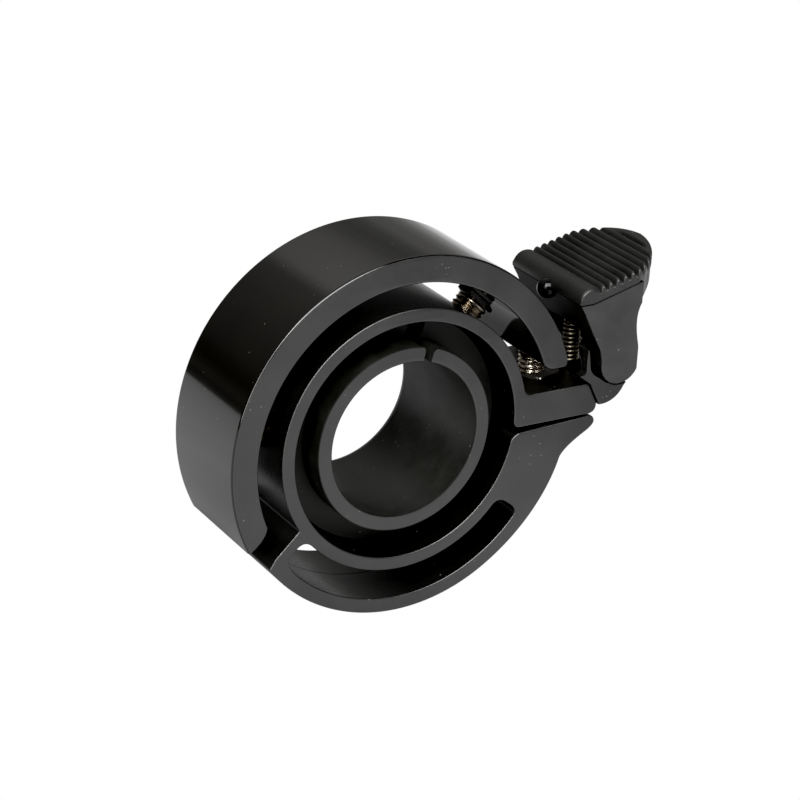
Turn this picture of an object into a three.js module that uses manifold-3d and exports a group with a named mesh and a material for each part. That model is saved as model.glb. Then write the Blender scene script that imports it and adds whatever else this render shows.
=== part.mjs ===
// Ring-shaped bicycle bell that wraps around a handlebar.
//
// Units are millimetres. The handlebar runs along Y through the origin, which is the centre of the
// clamp band. X points along the clamp lugs towards the striking lever, and Z is up. Outlines are drawn
// in the XZ plane and pulled along Y. A ring is a lathe turned about Y. Angles are in degrees,
// measured from +X towards +Z.

import * as THREE from 'three';
import { mergeVertices } from 'three/addons/utils/BufferGeometryUtils.js';
import Module from 'manifold-3d';

const wasm = await Module();
wasm.setup();

// ---------------------------------------------------------------- driving dimensions

const CLEARANCE = 0.3; // air between neighbouring pieces
const RING_SEGMENTS = 72; // facets in a full turn of a large ring
const ROUND_SEGMENTS = 24; // facets in a full turn of a small round piece

const HANDLEBAR_RADIUS = 11.1; // grip area of a standard 22.2 mm handlebar

const BAND_WIDTH = 16.5;
const BAND_BORE_RADIUS = 16.95; // takes a 31.8 mm bar with a 1 mm liner, or the sleeve below
const BAND_RADIUS = 18.85;
const CRESCENT_RADIUS = 25.2;
const CRESCENT_START = -143.7; // outer corner of the crescent, next to the gong's closed end
const CRESCENT_ROUND_END = -60; // from here the flank swells towards the lower lug
const STEP_ANGLE = -147.7; // where the crescent's end face meets the band
const WINDOW_OUTER_RADIUS = 23.1;
const WINDOW_START = -142.0;
const WINDOW_END = -36.6;

const LUG_TOP = 3.34;
const LUG_BOTTOM = -1.25;
const LUG_END_X = 30.5;
const LUG_SHOULDER_X = 28.95; // top corner of the upper lug's slanted end face
const LUG_SHOULDER_Z = 0.3; // bottom corner of that slanted face
const LOWER_LUG_TIP_X = 30.35;

const SLEEVE_RADIUS = 13.25;
const SLEEVE_FRONT = -7.6;
const SLEEVE_BACK = 12.7;
const SLEEVE_FLANGE_FRONT = -3.25; // the thick flange that fills the band's bore starts here
const SLEEVE_SLOT_ANGLE = 75.2;
const SLEEVE_SLOT_WIDTH = 1.3;
const SLEEVE_FLANGE_SLOT_ANGLE = 76.4;
const SLEEVE_FLANGE_SLOT_WIDTH = 2.65;

const GONG_WIDTH = 16.8;
const GONG_BORE_RADIUS = 22.4;
const GONG_RADIUS = 26.3;
const GONG_CHAMFER = 0.45;
const GONG_TONGUE_Z = 6.55; // flat end of the tongue, level with the lug below it
const GONG_TAIL_ANGLE = -153.3; // outer corner of the other end

const MOUNT_ANGLES = { upper: 46, left: 175 }; // the gong hangs on two screws
const MOUNT_SCREW_RADIUS = 2.4; // about M5
const MOUNT_HEAD_RADIUS = 3.3;
const MOUNT_HEAD_HEIGHT = 1.3;
const MOUNT_NECK_RADIUS = 1.2;
const MOUNT_SHOULDER = 20.7; // distance of the thread's end from the bar's axis
const MOUNT_HOLE_DEPTH = 2.6; // blind hole in the gong
const COLLAR_ACROSS_FLATS = 5.0;
const GROMMET_RADIUS = 2.2; // soft ring that lets the gong sing
const GROMMET_THICKNESS = 0.55;

const CLAMP_BOLT_X = 24.8;
const CLAMP_BOLT_RADIUS = 2; // M4
const CLAMP_HEAD_RADIUS = 3.5;
const CLAMP_HEAD_HEIGHT = 3.6;
const CLAMP_SEAT_Z = -4.9; // where the washer meets the lower lug
const CLAMP_WASHER_RADIUS = 3.6;
const CLAMP_WASHER_THICKNESS = 0.6;
const CLAMP_NUT_ACROSS_FLATS = 7;
const CLAMP_NUT_HEIGHT = 2.2;
const CLAMP_NUT_TURN = 46;
const CLAMP_NUT_PROUD = 0.1; // how far it stands out of its hexagonal pocket in the upper lug
const CLAMP_BOLT_TIP_Z = 6.1;
const CLAMP_SOCKET_ACROSS_FLATS = 3;

const PIVOT = new THREE.Vector2(33.7, 5.95); // lever axis, X and Z
const KNUCKLE_RADIUS = 3.15;
const PIN_RADIUS = 1;
const PIN_PLAY = 0.2;
const PIN_FRONT = -7.1; // the pin is pushed in from the back and stops inside the front cheek
const PIN_BACK = 8.3;

const LEVER_WIDTH = 17.4;
const LEVER_POCKET_WIDTH = 9.6;
const LEVER_POCKET_TOP = 10.5;
const BASE_WIDTH = 17;
const BASE_CHEEK = 1.4; // thickness of the cradle's raised sides
const BASE_HEEL = new THREE.Vector2(31, 4); // centre of the heel's outer round
const BASE_HEEL_RADIUS = 3.9;
const EAR_INNER = 1.9; // the two ears that carry the pin start this far from the middle
const EAR_OUTER = 4.5;
const EAR_RADIUS = 2.5;
const BASE_SCREW_Y = 6.4;
const BASE_SCREW_Z = 1.65;
const BASE_SCREW_RADIUS = 0.6;
const BASE_SCREW_HEAD_RADIUS = 1;
const BASE_SCREW_HEAD_HEIGHT = 0.8;
const BASE_SCREW_SEAT = 2.2; // distance from the lug's face to the underside of the head
const BASE_SCREW_REACH = 4; // length inside the lug

const PAD_THICKNESS_AT_NOSE = 2.4;
const PAD_RIB_COUNT = 10;
const PAD_RIB_HEIGHT = 0.45;
const PAD_END_RADIUS = 9.3; // the thumb end is close to a half circle in plan
const PAD_TIP_X = 41.7;
const PAD_CORNER_RADIUS = 1;

const STRIKER = new THREE.Vector2(26.5, 15.05); // centre of the dome, X and Z
const STRIKER_RADIUS = 1.5;
const STRIKER_STEM_RADIUS = 0.9;
const STRIKER_STEM_LENGTH = 3.2;

const SPRING_X = 31.2;
const SPRING_BOTTOM = 3.3;
const SPRING_TOP = 10.1;
const SPRING_RADIUS = 1.0; // to the middle of the wire
const SPRING_WIRE_RADIUS = 0.2;
const SPRING_TURNS = 8;

// ---------------------------------------------------------------- helpers

const radians = THREE.MathUtils.degToRad;

function polar(radius, degrees) {
  return new THREE.Vector2(radius * Math.cos(radians(degrees)), radius * Math.sin(radians(degrees)));
}

function toSolid(geometry) {
  const bare = geometry.index ? geometry.toNonIndexed() : geometry.clone();
  bare.deleteAttribute('normal');
  bare.deleteAttribute('uv');
  const merged = mergeVertices(bare, 1e-4);
  return new wasm.Manifold(new wasm.Mesh({
    numProp: 3,
    vertProperties: new Float32Array(merged.attributes.position.array),
    triVerts: new Uint32Array(merged.index.array),
  }));
}

function toGeometry(solid) {
  const { vertProperties, triVerts } = solid.getMesh();
  const geometry = new THREE.BufferGeometry();
  geometry.setAttribute('position', new THREE.BufferAttribute(new Float32Array(vertProperties), 3));
  geometry.setIndex(new THREE.BufferAttribute(new Uint32Array(triVerts), 1));
  geometry.computeVertexNormals();
  return geometry;
}

// An XZ outline pulled along Y from yLow to yHigh.
function prism(shape, yLow, yHigh, curveSegments = 12) {
  const geometry = new THREE.ExtrudeGeometry(shape, {
    depth: yHigh - yLow,
    bevelEnabled: false,
    curveSegments,
  });
  geometry.rotateX(Math.PI / 2);
  geometry.translate(0, yHigh, 0);
  return toSolid(geometry);
}

// A body of revolution about Y. The profile holds [radius, y] pairs in a counter-clockwise loop.
function turned(profile, segments = RING_SEGMENTS) {
  const points = profile.map(([radius, y]) => new THREE.Vector2(radius, y));
  return toSolid(new THREE.LatheGeometry(points, segments));
}

// A body of revolution whose axis starts at `from` and points along `direction`.
// The profile holds [radius, height] pairs, from the axis at the bottom to the axis at the top.
function spindle(profile, from, direction, segments = ROUND_SEGMENTS, turn = 0) {
  const points = profile.map(([radius, height]) => new THREE.Vector2(radius, height));
  const geometry = new THREE.LatheGeometry(points, segments);
  geometry.rotateY(radians(turn));
  const up = new THREE.Vector3(0, 1, 0);
  geometry.applyQuaternion(new THREE.Quaternion().setFromUnitVectors(up, direction.clone().normalize()));
  geometry.translate(from.x, from.y, from.z);
  return toSolid(geometry);
}

function rod(radius, height) {
  return [[0, 0], [radius, 0], [radius, height], [0, height]];
}

function hexRadius(acrossFlats) {
  return acrossFlats / Math.sqrt(3);
}

function box(xLow, xHigh, yLow, yHigh, zLow, zHigh) {
  const geometry = new THREE.BoxGeometry(xHigh - xLow, yHigh - yLow, zHigh - zLow);
  geometry.translate((xLow + xHigh) / 2, (yLow + yHigh) / 2, (zLow + zHigh) / 2);
  return toSolid(geometry);
}

// ---------------------------------------------------------------- clamp band

function bandOutline() {
  const shape = new THREE.Shape();
  const lugRoot = Math.asin(LUG_TOP / BAND_RADIUS);
  const boreTop = -1; // the bore ends here, under the upper lug
  const boreBottom = -10.5; // and starts again here, over the lower lug
  const start = polar(BAND_BORE_RADIUS, boreTop);
  shape.moveTo(start.x, start.y);
  shape.quadraticCurveTo(BAND_BORE_RADIUS + 0.1, LUG_BOTTOM, BAND_BORE_RADIUS + 1, LUG_BOTTOM);
  shape.lineTo(LUG_END_X - 1.15, LUG_BOTTOM);
  shape.absarc(LUG_END_X - 1.15, LUG_BOTTOM + 1.15, 1.15, -Math.PI / 2, 0, false);
  shape.lineTo(LUG_END_X, LUG_SHOULDER_Z);
  shape.lineTo(LUG_SHOULDER_X, LUG_TOP);
  shape.absarc(0, 0, BAND_RADIUS, lugRoot, radians(360 + STEP_ANGLE), false);
  const stepKnee = polar(23.65, -145.2);
  shape.lineTo(stepKnee.x, stepKnee.y);
  shape.absarc(0, 0, CRESCENT_RADIUS, radians(CRESCENT_START), radians(CRESCENT_ROUND_END), false);
  shape.bezierCurveTo(19.3, -17.9, 23.4, -12.2, 24.95, -7.1);
  shape.quadraticCurveTo(25.5, -5.75, 29.1, -3.8);
  shape.quadraticCurveTo(LOWER_LUG_TIP_X + 0.1, -3.0, LOWER_LUG_TIP_X, -2.35);
  shape.quadraticCurveTo(LOWER_LUG_TIP_X - 0.2, -1.5, 29.2, -1.55);
  shape.lineTo(18.1, -2.1);
  const end = polar(BAND_BORE_RADIUS, boreBottom);
  shape.quadraticCurveTo(17.2, -2.2, end.x, end.y);
  shape.absarc(0, 0, BAND_BORE_RADIUS, radians(boreBottom), radians(boreTop - 360), true);
  return shape;
}

// Kidney-shaped lightening window between the band and the crescent's outer wall. Each corner bends
// from one arc to the end line: [angle on the arc, radius on the end line].
function windowOutline() {
  const outer = WINDOW_OUTER_RADIUS;
  const inner = BAND_RADIUS;
  const shape = new THREE.Path();
  const bend = (fromPoint, corner, toPoint) => {
    shape.lineTo(fromPoint.x, fromPoint.y);
    shape.quadraticCurveTo(corner.x, corner.y, toPoint.x, toPoint.y);
  };
  shape.absarc(0, 0, outer, radians(WINDOW_START + 7), radians(WINDOW_END - 3.2), false);
  bend(polar(outer, WINDOW_END - 3.2), polar(outer, WINDOW_END), polar(outer - 1.7, WINDOW_END));
  bend(polar(inner + 1.7, WINDOW_END), polar(inner, WINDOW_END), polar(inner, WINDOW_END - 4.6));
  shape.absarc(0, 0, inner, radians(WINDOW_END - 4.6), radians(WINDOW_START + 6), true);
  bend(polar(inner, WINDOW_START + 6), polar(inner, WINDOW_START), polar(inner + 1.5, WINDOW_START));
  bend(polar(outer - 1.7, WINDOW_START), polar(outer, WINDOW_START), polar(outer, WINDOW_START + 7));
  return shape;
}

// Direction and start point of a mounting screw, which points away from the bar's axis.
function mountAxis(angle) {
  const out = polar(1, angle);
  return new THREE.Vector3(out.x, 0, out.y);
}

function along(direction, distance) {
  return direction.clone().multiplyScalar(distance);
}

// Two small screws run along X and hold the hinge base on the upper lug's slanted end face.
const INWARDS = new THREE.Vector3(-1, 0, 0);
const slantFraction = (LUG_TOP - BASE_SCREW_Z) / (LUG_TOP - LUG_SHOULDER_Z);
const baseScrewFaceX = LUG_SHOULDER_X + slantFraction * (LUG_END_X - LUG_SHOULDER_X);

function baseScrewPoint(y, outwards) {
  return new THREE.Vector3(baseScrewFaceX + outwards, y, BASE_SCREW_Z);
}

// The clamp nut is held from turning in a pocket in the top of the upper lug.
const clampNutBottom = LUG_TOP + CLAMP_NUT_PROUD - CLAMP_NUT_HEIGHT;

function makeClampBand() {
  const half = BAND_WIDTH / 2;
  const outline = bandOutline();
  outline.holes.push(windowOutline());
  let solid = prism(outline, -half, half, 18);
  for (const angle of Object.values(MOUNT_ANGLES)) {
    const axis = mountAxis(angle);
    const hole = MOUNT_SCREW_RADIUS + CLEARANCE;
    const mouth = MOUNT_HEAD_RADIUS + CLEARANCE;
    const profile = [
      [0, 0], [mouth, 0], [mouth, 1.15], [hole, 1.15 + MOUNT_HEAD_HEIGHT], [hole, 4], [0, 4],
    ];
    solid = solid.subtract(spindle(profile, along(axis, BAND_BORE_RADIUS - 1), axis));
  }
  const up = new THREE.Vector3(0, 0, 1);
  const boltHole = rod(CLAMP_BOLT_RADIUS + CLEARANCE, 30);
  solid = solid.subtract(spindle(boltHole, new THREE.Vector3(CLAMP_BOLT_X, 0, -20), up));
  const nutPocket = rod(hexRadius(CLAMP_NUT_ACROSS_FLATS + CLEARANCE), CLAMP_NUT_HEIGHT + 2);
  const nutFloor = new THREE.Vector3(CLAMP_BOLT_X, 0, clampNutBottom - CLEARANCE / 2);
  solid = solid.subtract(spindle(nutPocket, nutFloor, up, 6, CLAMP_NUT_TURN));
  const headPocket = rod(CLAMP_WASHER_RADIUS + CLEARANCE, 20);
  const pocketStart = new THREE.Vector3(CLAMP_BOLT_X, 0, CLAMP_SEAT_Z - 20);
  solid = solid.subtract(spindle(headPocket, pocketStart, up, 32));
  for (const y of [-BASE_SCREW_Y, BASE_SCREW_Y]) {
    const pilot = rod(BASE_SCREW_RADIUS + CLEARANCE / 2, BASE_SCREW_REACH + 1);
    solid = solid.subtract(spindle(pilot, baseScrewPoint(y, 0.5), INWARDS, 16));
  }
  return solid;
}

// ---------------------------------------------------------------- handlebar sleeve

function makeHandlebarSleeve() {
  const flange = BAND_BORE_RADIUS - CLEARANCE;
  const flangeBack = BAND_WIDTH / 2;
  const lead = 0.4; // the bore opens slightly at the back
  const profile = [
    [HANDLEBAR_RADIUS, SLEEVE_FRONT],
    [SLEEVE_RADIUS, SLEEVE_FRONT],
    [SLEEVE_RADIUS, SLEEVE_FLANGE_FRONT],
    [flange, SLEEVE_FLANGE_FRONT],
    [flange, flangeBack],
    [SLEEVE_RADIUS, flangeBack],
    [SLEEVE_RADIUS, SLEEVE_BACK],
    [HANDLEBAR_RADIUS + lead, SLEEVE_BACK],
    [HANDLEBAR_RADIUS, SLEEVE_BACK - 3 * lead],
    [HANDLEBAR_RADIUS, SLEEVE_FRONT],
  ];
  let solid = turned(profile);
  const slots = [
    [SLEEVE_SLOT_ANGLE, SLEEVE_SLOT_WIDTH, HANDLEBAR_RADIUS - 1, SLEEVE_RADIUS + 0.4],
    [SLEEVE_FLANGE_SLOT_ANGLE, SLEEVE_FLANGE_SLOT_WIDTH, SLEEVE_RADIUS + 0.05, flange + 1],
  ];
  for (const [angle, width, inner, outer] of slots) {
    const cutter = new THREE.BoxGeometry(outer - inner, 60, width);
    cutter.translate((inner + outer) / 2, 0, 0);
    cutter.rotateY(-radians(angle));
    solid = solid.subtract(toSolid(cutter));
  }
  return solid;
}

// ---------------------------------------------------------------- gong

// The open part of the C, from the tongue's end clockwise to the tail.
function gongGap() {
  const shape = new THREE.Shape();
  const reach = 40;
  const tail = polar(GONG_RADIUS, GONG_TAIL_ANGLE);
  shape.moveTo(0, 0);
  shape.lineTo(-20.2, -6.5);
  shape.quadraticCurveTo(-20.6, -9.2, -21.6, -10.5);
  shape.lineTo(tail.x, tail.y);
  shape.lineTo(tail.x - 1, tail.y - 1.3);
  shape.lineTo(-reach, -reach);
  shape.lineTo(reach, -reach);
  shape.lineTo(reach, GONG_TONGUE_Z + 1.5);
  shape.lineTo(25.1, GONG_TONGUE_Z + 1.5);
  shape.lineTo(25.1, GONG_TONGUE_Z + 0.7);
  shape.quadraticCurveTo(25.1, GONG_TONGUE_Z, 24.4, GONG_TONGUE_Z);
  shape.lineTo(22.7, GONG_TONGUE_Z);
  shape.quadraticCurveTo(21.0, GONG_TONGUE_Z + 0.2, 20.6, GONG_TONGUE_Z + 2.6);
  return shape;
}

function makeGong() {
  const half = GONG_WIDTH / 2;
  const edge = GONG_CHAMFER;
  const inner = 0.25;
  const profile = [
    [GONG_BORE_RADIUS + inner, -half],
    [GONG_RADIUS - edge, -half],
    [GONG_RADIUS, -half + edge],
    [GONG_RADIUS, half - edge],
    [GONG_RADIUS - edge, half],
    [GONG_BORE_RADIUS + inner, half],
    [GONG_BORE_RADIUS, half - inner],
    [GONG_BORE_RADIUS, -half + inner],
    [GONG_BORE_RADIUS + inner, -half],
  ];
  let solid = turned(profile).subtract(prism(gongGap(), -half - 1, half + 1));
  for (const angle of Object.values(MOUNT_ANGLES)) {
    const axis = mountAxis(angle);
    const hole = rod(MOUNT_NECK_RADIUS + CLEARANCE, 1 + MOUNT_HOLE_DEPTH);
    solid = solid.subtract(spindle(hole, along(axis, GONG_BORE_RADIUS - 1), axis));
  }
  return solid;
}

// ---------------------------------------------------------------- gong mounting

function makeGongScrew(angle) {
  const axis = mountAxis(angle);
  const start = BAND_BORE_RADIUS + 0.2;
  const shoulder = MOUNT_SHOULDER - start;
  const tip = GONG_BORE_RADIUS + MOUNT_HOLE_DEPTH - CLEARANCE - start;
  const profile = [
    [0, 0],
    [MOUNT_HEAD_RADIUS, 0],
    [MOUNT_SCREW_RADIUS, MOUNT_HEAD_HEIGHT],
    [MOUNT_SCREW_RADIUS, shoulder - 0.2],
    [MOUNT_SCREW_RADIUS - 0.2, shoulder],
    [MOUNT_NECK_RADIUS, shoulder],
    [MOUNT_NECK_RADIUS, tip],
    [0, tip],
  ];
  const body = spindle(profile, along(axis, start), axis);
  const socket = [[0, 0], [1.0, 0], [1.0, 0.9], [0, 0.9]];
  return body.subtract(spindle(socket, along(axis, start - 0.1), axis, 6));
}

function ringOnNeck(outer, bottom, height, axis) {
  const bore = rod(MOUNT_NECK_RADIUS + CLEARANCE / 2, height + 1);
  return outer.subtract(spindle(bore, along(axis, bottom - 0.5), axis));
}

function makeGongCollar(angle) {
  const axis = mountAxis(angle);
  const bottom = MOUNT_SHOULDER + CLEARANCE / 3;
  const height = GONG_BORE_RADIUS - CLEARANCE / 3 - GROMMET_THICKNESS - CLEARANCE / 3 - bottom;
  const outline = rod(hexRadius(COLLAR_ACROSS_FLATS), height);
  return ringOnNeck(spindle(outline, along(axis, bottom), axis, 6, 30), bottom, height, axis);
}

function makeGongGrommet(angle) {
  const axis = mountAxis(angle);
  const bottom = GONG_BORE_RADIUS - CLEARANCE / 3 - GROMMET_THICKNESS;
  const outline = rod(GROMMET_RADIUS, GROMMET_THICKNESS);
  return ringOnNeck(spindle(outline, along(axis, bottom), axis), bottom, GROMMET_THICKNESS, axis);
}

// ---------------------------------------------------------------- clamp fasteners

const UP = new THREE.Vector3(0, 0, 1);

function makeClampBolt() {
  const headTop = CLAMP_SEAT_Z - CLEARANCE / 2 - CLAMP_WASHER_THICKNESS - CLEARANCE / 2;
  const headBottom = headTop - CLAMP_HEAD_HEIGHT;
  const profile = [
    [0, 0],
    [CLAMP_HEAD_RADIUS - 0.3, 0],
    [CLAMP_HEAD_RADIUS, 0.3],
    [CLAMP_HEAD_RADIUS, CLAMP_HEAD_HEIGHT],
    [CLAMP_BOLT_RADIUS, CLAMP_HEAD_HEIGHT],
    [CLAMP_BOLT_RADIUS, CLAMP_BOLT_TIP_Z - headBottom - 0.3],
    [CLAMP_BOLT_RADIUS - 0.3, CLAMP_BOLT_TIP_Z - headBottom],
    [0, CLAMP_BOLT_TIP_Z - headBottom],
  ];
  const body = spindle(profile, new THREE.Vector3(CLAMP_BOLT_X, 0, headBottom), UP);
  const key = rod(hexRadius(CLAMP_SOCKET_ACROSS_FLATS), 2.5);
  return body.subtract(spindle(key, new THREE.Vector3(CLAMP_BOLT_X, 0, headBottom - 0.5), UP, 6));
}

function makeClampNut() {
  const from = new THREE.Vector3(CLAMP_BOLT_X, 0, clampNutBottom);
  const corner = hexRadius(CLAMP_NUT_ACROSS_FLATS);
  const hex = spindle(rod(corner, CLAMP_NUT_HEIGHT), from, UP, 6, CLAMP_NUT_TURN);
  const flat = CLAMP_NUT_ACROSS_FLATS / 2;
  const bevel = [
    [0, 0], [flat, 0], [corner + 0.1, 0.35], [corner + 0.1, CLAMP_NUT_HEIGHT - 0.35],
    [flat, CLAMP_NUT_HEIGHT], [0, CLAMP_NUT_HEIGHT],
  ];
  const bore = rod(CLAMP_BOLT_RADIUS + CLEARANCE / 2, CLAMP_NUT_HEIGHT + 2);
  const boreStart = from.clone().setZ(clampNutBottom - 1);
  return hex.intersect(spindle(bevel, from, UP)).subtract(spindle(bore, boreStart, UP));
}

function makeClampWasher() {
  const bottom = CLAMP_SEAT_Z - CLEARANCE / 2 - CLAMP_WASHER_THICKNESS;
  const from = new THREE.Vector3(CLAMP_BOLT_X, 0, bottom);
  const disc = spindle(rod(CLAMP_WASHER_RADIUS, CLAMP_WASHER_THICKNESS), from, UP);
  const bore = rod(CLAMP_BOLT_RADIUS + CLEARANCE / 2, CLAMP_WASHER_THICKNESS + 1);
  return disc.subtract(spindle(bore, from.clone().setZ(bottom - 0.5), UP));
}

// ---------------------------------------------------------------- hinge base

// Side view of the cradle: a toe over the lug's shoulder, a thin blade at the left, a round heel.
function cradleOutline() {
  const shape = new THREE.Shape();
  const seat = KNUCKLE_RADIUS + CLEARANCE;
  const off = CLEARANCE;
  shape.moveTo(LUG_END_X + off, 0.18);
  shape.absarc(BASE_HEEL.x, BASE_HEEL.y, BASE_HEEL_RADIUS, radians(-92), radians(-26), false);
  shape.absarc(PIVOT.x, PIVOT.y, seat, radians(-69), radians(-122), true);
  shape.quadraticCurveTo(29.0, 4.9, 28.6, 7.1);
  shape.lineTo(28.3, 8.6);
  shape.lineTo(28.15, 8.6);
  shape.lineTo(28.1, 5.6);
  shape.quadraticCurveTo(28.0, 5.0, 27.3, 4.9);
  shape.lineTo(LUG_SHOULDER_X + 0.05, LUG_TOP + off + 0.1);
  shape.lineTo(LUG_END_X + off, LUG_SHOULDER_Z + 0.15);
  return shape;
}

// The part of the cradle between its two sides: the foot, with a floor for the spring.
function floorOutline() {
  const shape = new THREE.Shape();
  const off = CLEARANCE;
  shape.moveTo(LUG_END_X + off, 0.18);
  shape.absarc(BASE_HEEL.x, BASE_HEEL.y, BASE_HEEL_RADIUS, radians(-92), radians(-30), false);
  shape.lineTo(PIVOT.x + 0.6, 2.45);
  shape.lineTo(32.4, 3.0);
  shape.lineTo(29.6, 3.0);
  shape.lineTo(LUG_SHOULDER_X + 0.5, LUG_TOP - 0.15);
  shape.lineTo(LUG_END_X + off, LUG_SHOULDER_Z + 0.15);
  return shape;
}

function earOutline() {
  const shape = new THREE.Shape();
  shape.moveTo(PIVOT.x - 1.0, 2.0);
  shape.lineTo(PIVOT.x + 0.9, 2.0);
  shape.absarc(PIVOT.x, PIVOT.y, EAR_RADIUS, radians(-40), radians(205), false);
  return shape;
}

function makeHingeBase() {
  const half = BASE_WIDTH / 2;
  let solid = prism(floorOutline(), -half + 0.5, half - 0.5, 7);
  for (const side of [-1, 1]) {
    const cheek = [side * half, side * (half - BASE_CHEEK)].sort((a, b) => a - b);
    const seat = [side * (half - BASE_CHEEK + 0.1), side * (half - 3.6)].sort((a, b) => a - b);
    const ear = [side * EAR_INNER, side * EAR_OUTER].sort((a, b) => a - b);
    solid = solid.add(prism(cradleOutline(), ...cheek, 7));
    solid = solid.add(prism(cradleOutline(), ...seat, 7).subtract(box(20, 30.6, -20, 20, 4.2, 20)));
    solid = solid.add(prism(earOutline(), ...ear, 8));
    const y = side * BASE_SCREW_Y;
    const head = rod(BASE_SCREW_HEAD_RADIUS + CLEARANCE / 2, 6);
    solid = solid.subtract(spindle(head, baseScrewPoint(y, BASE_SCREW_SEAT + 6), INWARDS, 16));
    const shank = rod(BASE_SCREW_RADIUS + CLEARANCE / 2, 8);
    solid = solid.subtract(spindle(shank, baseScrewPoint(y, 6), INWARDS, 16));
  }
  const pin = rod(PIN_RADIUS + PIN_PLAY, 30);
  const pinStart = new THREE.Vector3(PIVOT.x, -15, PIVOT.y);
  solid = solid.subtract(spindle(pin, pinStart, new THREE.Vector3(0, 1, 0)));
  return solid;
}

function makeBaseScrew(y) {
  const outwards = BASE_SCREW_SEAT + CLEARANCE / 2 + BASE_SCREW_HEAD_HEIGHT;
  const start = baseScrewPoint(y, outwards);
  const length = outwards + BASE_SCREW_REACH;
  const profile = [
    [0, 0],
    [BASE_SCREW_HEAD_RADIUS, 0],
    [BASE_SCREW_HEAD_RADIUS, BASE_SCREW_HEAD_HEIGHT],
    [BASE_SCREW_RADIUS, BASE_SCREW_HEAD_HEIGHT],
    [BASE_SCREW_RADIUS, length - 0.8],
    [0, length],
  ];
  return spindle(profile, start, INWARDS, 16);
}

// ---------------------------------------------------------------- lever

// Line between the lever body and the soft pad, as X and Z.
const SEAM = [
  new THREE.Vector2(26.45, 15.3),
  new THREE.Vector2(28.4, 15.3),
  new THREE.Vector2(41.6, 18.87),
];

function leverOutline() {
  const shape = new THREE.Shape();
  shape.moveTo(SEAM[0].x, SEAM[0].y);
  shape.lineTo(27.05, 14.1);
  shape.quadraticCurveTo(28.6, 10.9, 29.95, 8.5);
  shape.quadraticCurveTo(30.5, 7.3, PIVOT.x - KNUCKLE_RADIUS + 0.02, PIVOT.y + 0.35);
  shape.absarc(PIVOT.x, PIVOT.y, KNUCKLE_RADIUS, radians(180), radians(368), false);
  shape.bezierCurveTo(36.6, 8.4, 35.4, 11.3, 36.4, 13.9);
  shape.quadraticCurveTo(37.3, 16.0, 41.6, 17.6);
  shape.lineTo(SEAM[2].x, SEAM[2].y);
  shape.lineTo(SEAM[1].x, SEAM[1].y);
  return shape;
}

// Plan view of the lever's head: straight at the nose, a shallow arc with round corners at the thumb end.
function headPlan(inset) {
  const half = LEVER_WIDTH / 2 - inset;
  const centre = PAD_TIP_X - inset - PAD_END_RADIUS;
  const corner = PAD_CORNER_RADIUS;
  const shape = new THREE.Shape();
  const edge = centre + Math.sqrt(PAD_END_RADIUS ** 2 - half ** 2);
  const arcStart = half - corner * 0.8;
  const arcX = centre + Math.sqrt(PAD_END_RADIUS ** 2 - arcStart ** 2);
  shape.moveTo(20, -half);
  shape.lineTo(edge - corner, -half);
  shape.quadraticCurveTo(edge, -half, arcX, -arcStart);
  const swing = Math.asin(arcStart / PAD_END_RADIUS);
  shape.absarc(centre, 0, PAD_END_RADIUS, -swing, swing, false);
  shape.quadraticCurveTo(edge, half, edge - corner, half);
  shape.lineTo(20, half);
  return shape;
}

function planPrism(shape, zLow, zHigh) {
  const geometry = new THREE.ExtrudeGeometry(shape, {
    depth: zHigh - zLow,
    bevelEnabled: false,
    curveSegments: 10,
  });
  geometry.translate(0, 0, zLow);
  return toSolid(geometry);
}

function strikerDirection() {
  return new THREE.Vector3(-STRIKER.x, 0, -STRIKER.y).normalize();
}

function strikerPoint(outwards) {
  const direction = strikerDirection();
  return new THREE.Vector3(STRIKER.x, 0, STRIKER.y).addScaledVector(direction, outwards);
}

function makeLeverBody() {
  const half = LEVER_WIDTH / 2;
  let solid = prism(leverOutline(), -half, half, 10);
  const pocket = LEVER_POCKET_WIDTH / 2;
  solid = solid.intersect(planPrism(headPlan(CLEARANCE), -10, 40).add(box(20, 37, -half, half, -10, 40)));
  solid = solid.subtract(box(20, 45, -pocket, pocket, 0, LEVER_POCKET_TOP));
  const pinHole = rod(PIN_RADIUS + PIN_PLAY, PIN_BACK - PIN_FRONT + 2);
  const pinStart = new THREE.Vector3(PIVOT.x, PIN_FRONT - PIN_PLAY, PIVOT.y);
  solid = solid.subtract(spindle(pinHole, pinStart, new THREE.Vector3(0, 1, 0)));
  const stem = rod(STRIKER_STEM_RADIUS + CLEARANCE / 2, STRIKER_STEM_LENGTH + 2);
  const stemStart = strikerPoint(-STRIKER_STEM_LENGTH - CLEARANCE / 2);
  solid = solid.subtract(spindle(stem, stemStart, strikerDirection()));
  const dome = [];
  for (let step = 0; step <= 12; step += 1) {
    const angle = -Math.PI / 2 + (Math.PI * step) / 12;
    const radius = STRIKER_RADIUS + CLEARANCE / 2;
    dome.push([Math.max(0, radius * Math.cos(angle)), radius * Math.sin(angle)]);
  }
  dome[0][0] = 0;
  dome[12][0] = 0;
  return solid.subtract(spindle(dome, strikerPoint(0), strikerDirection()));
}

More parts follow.
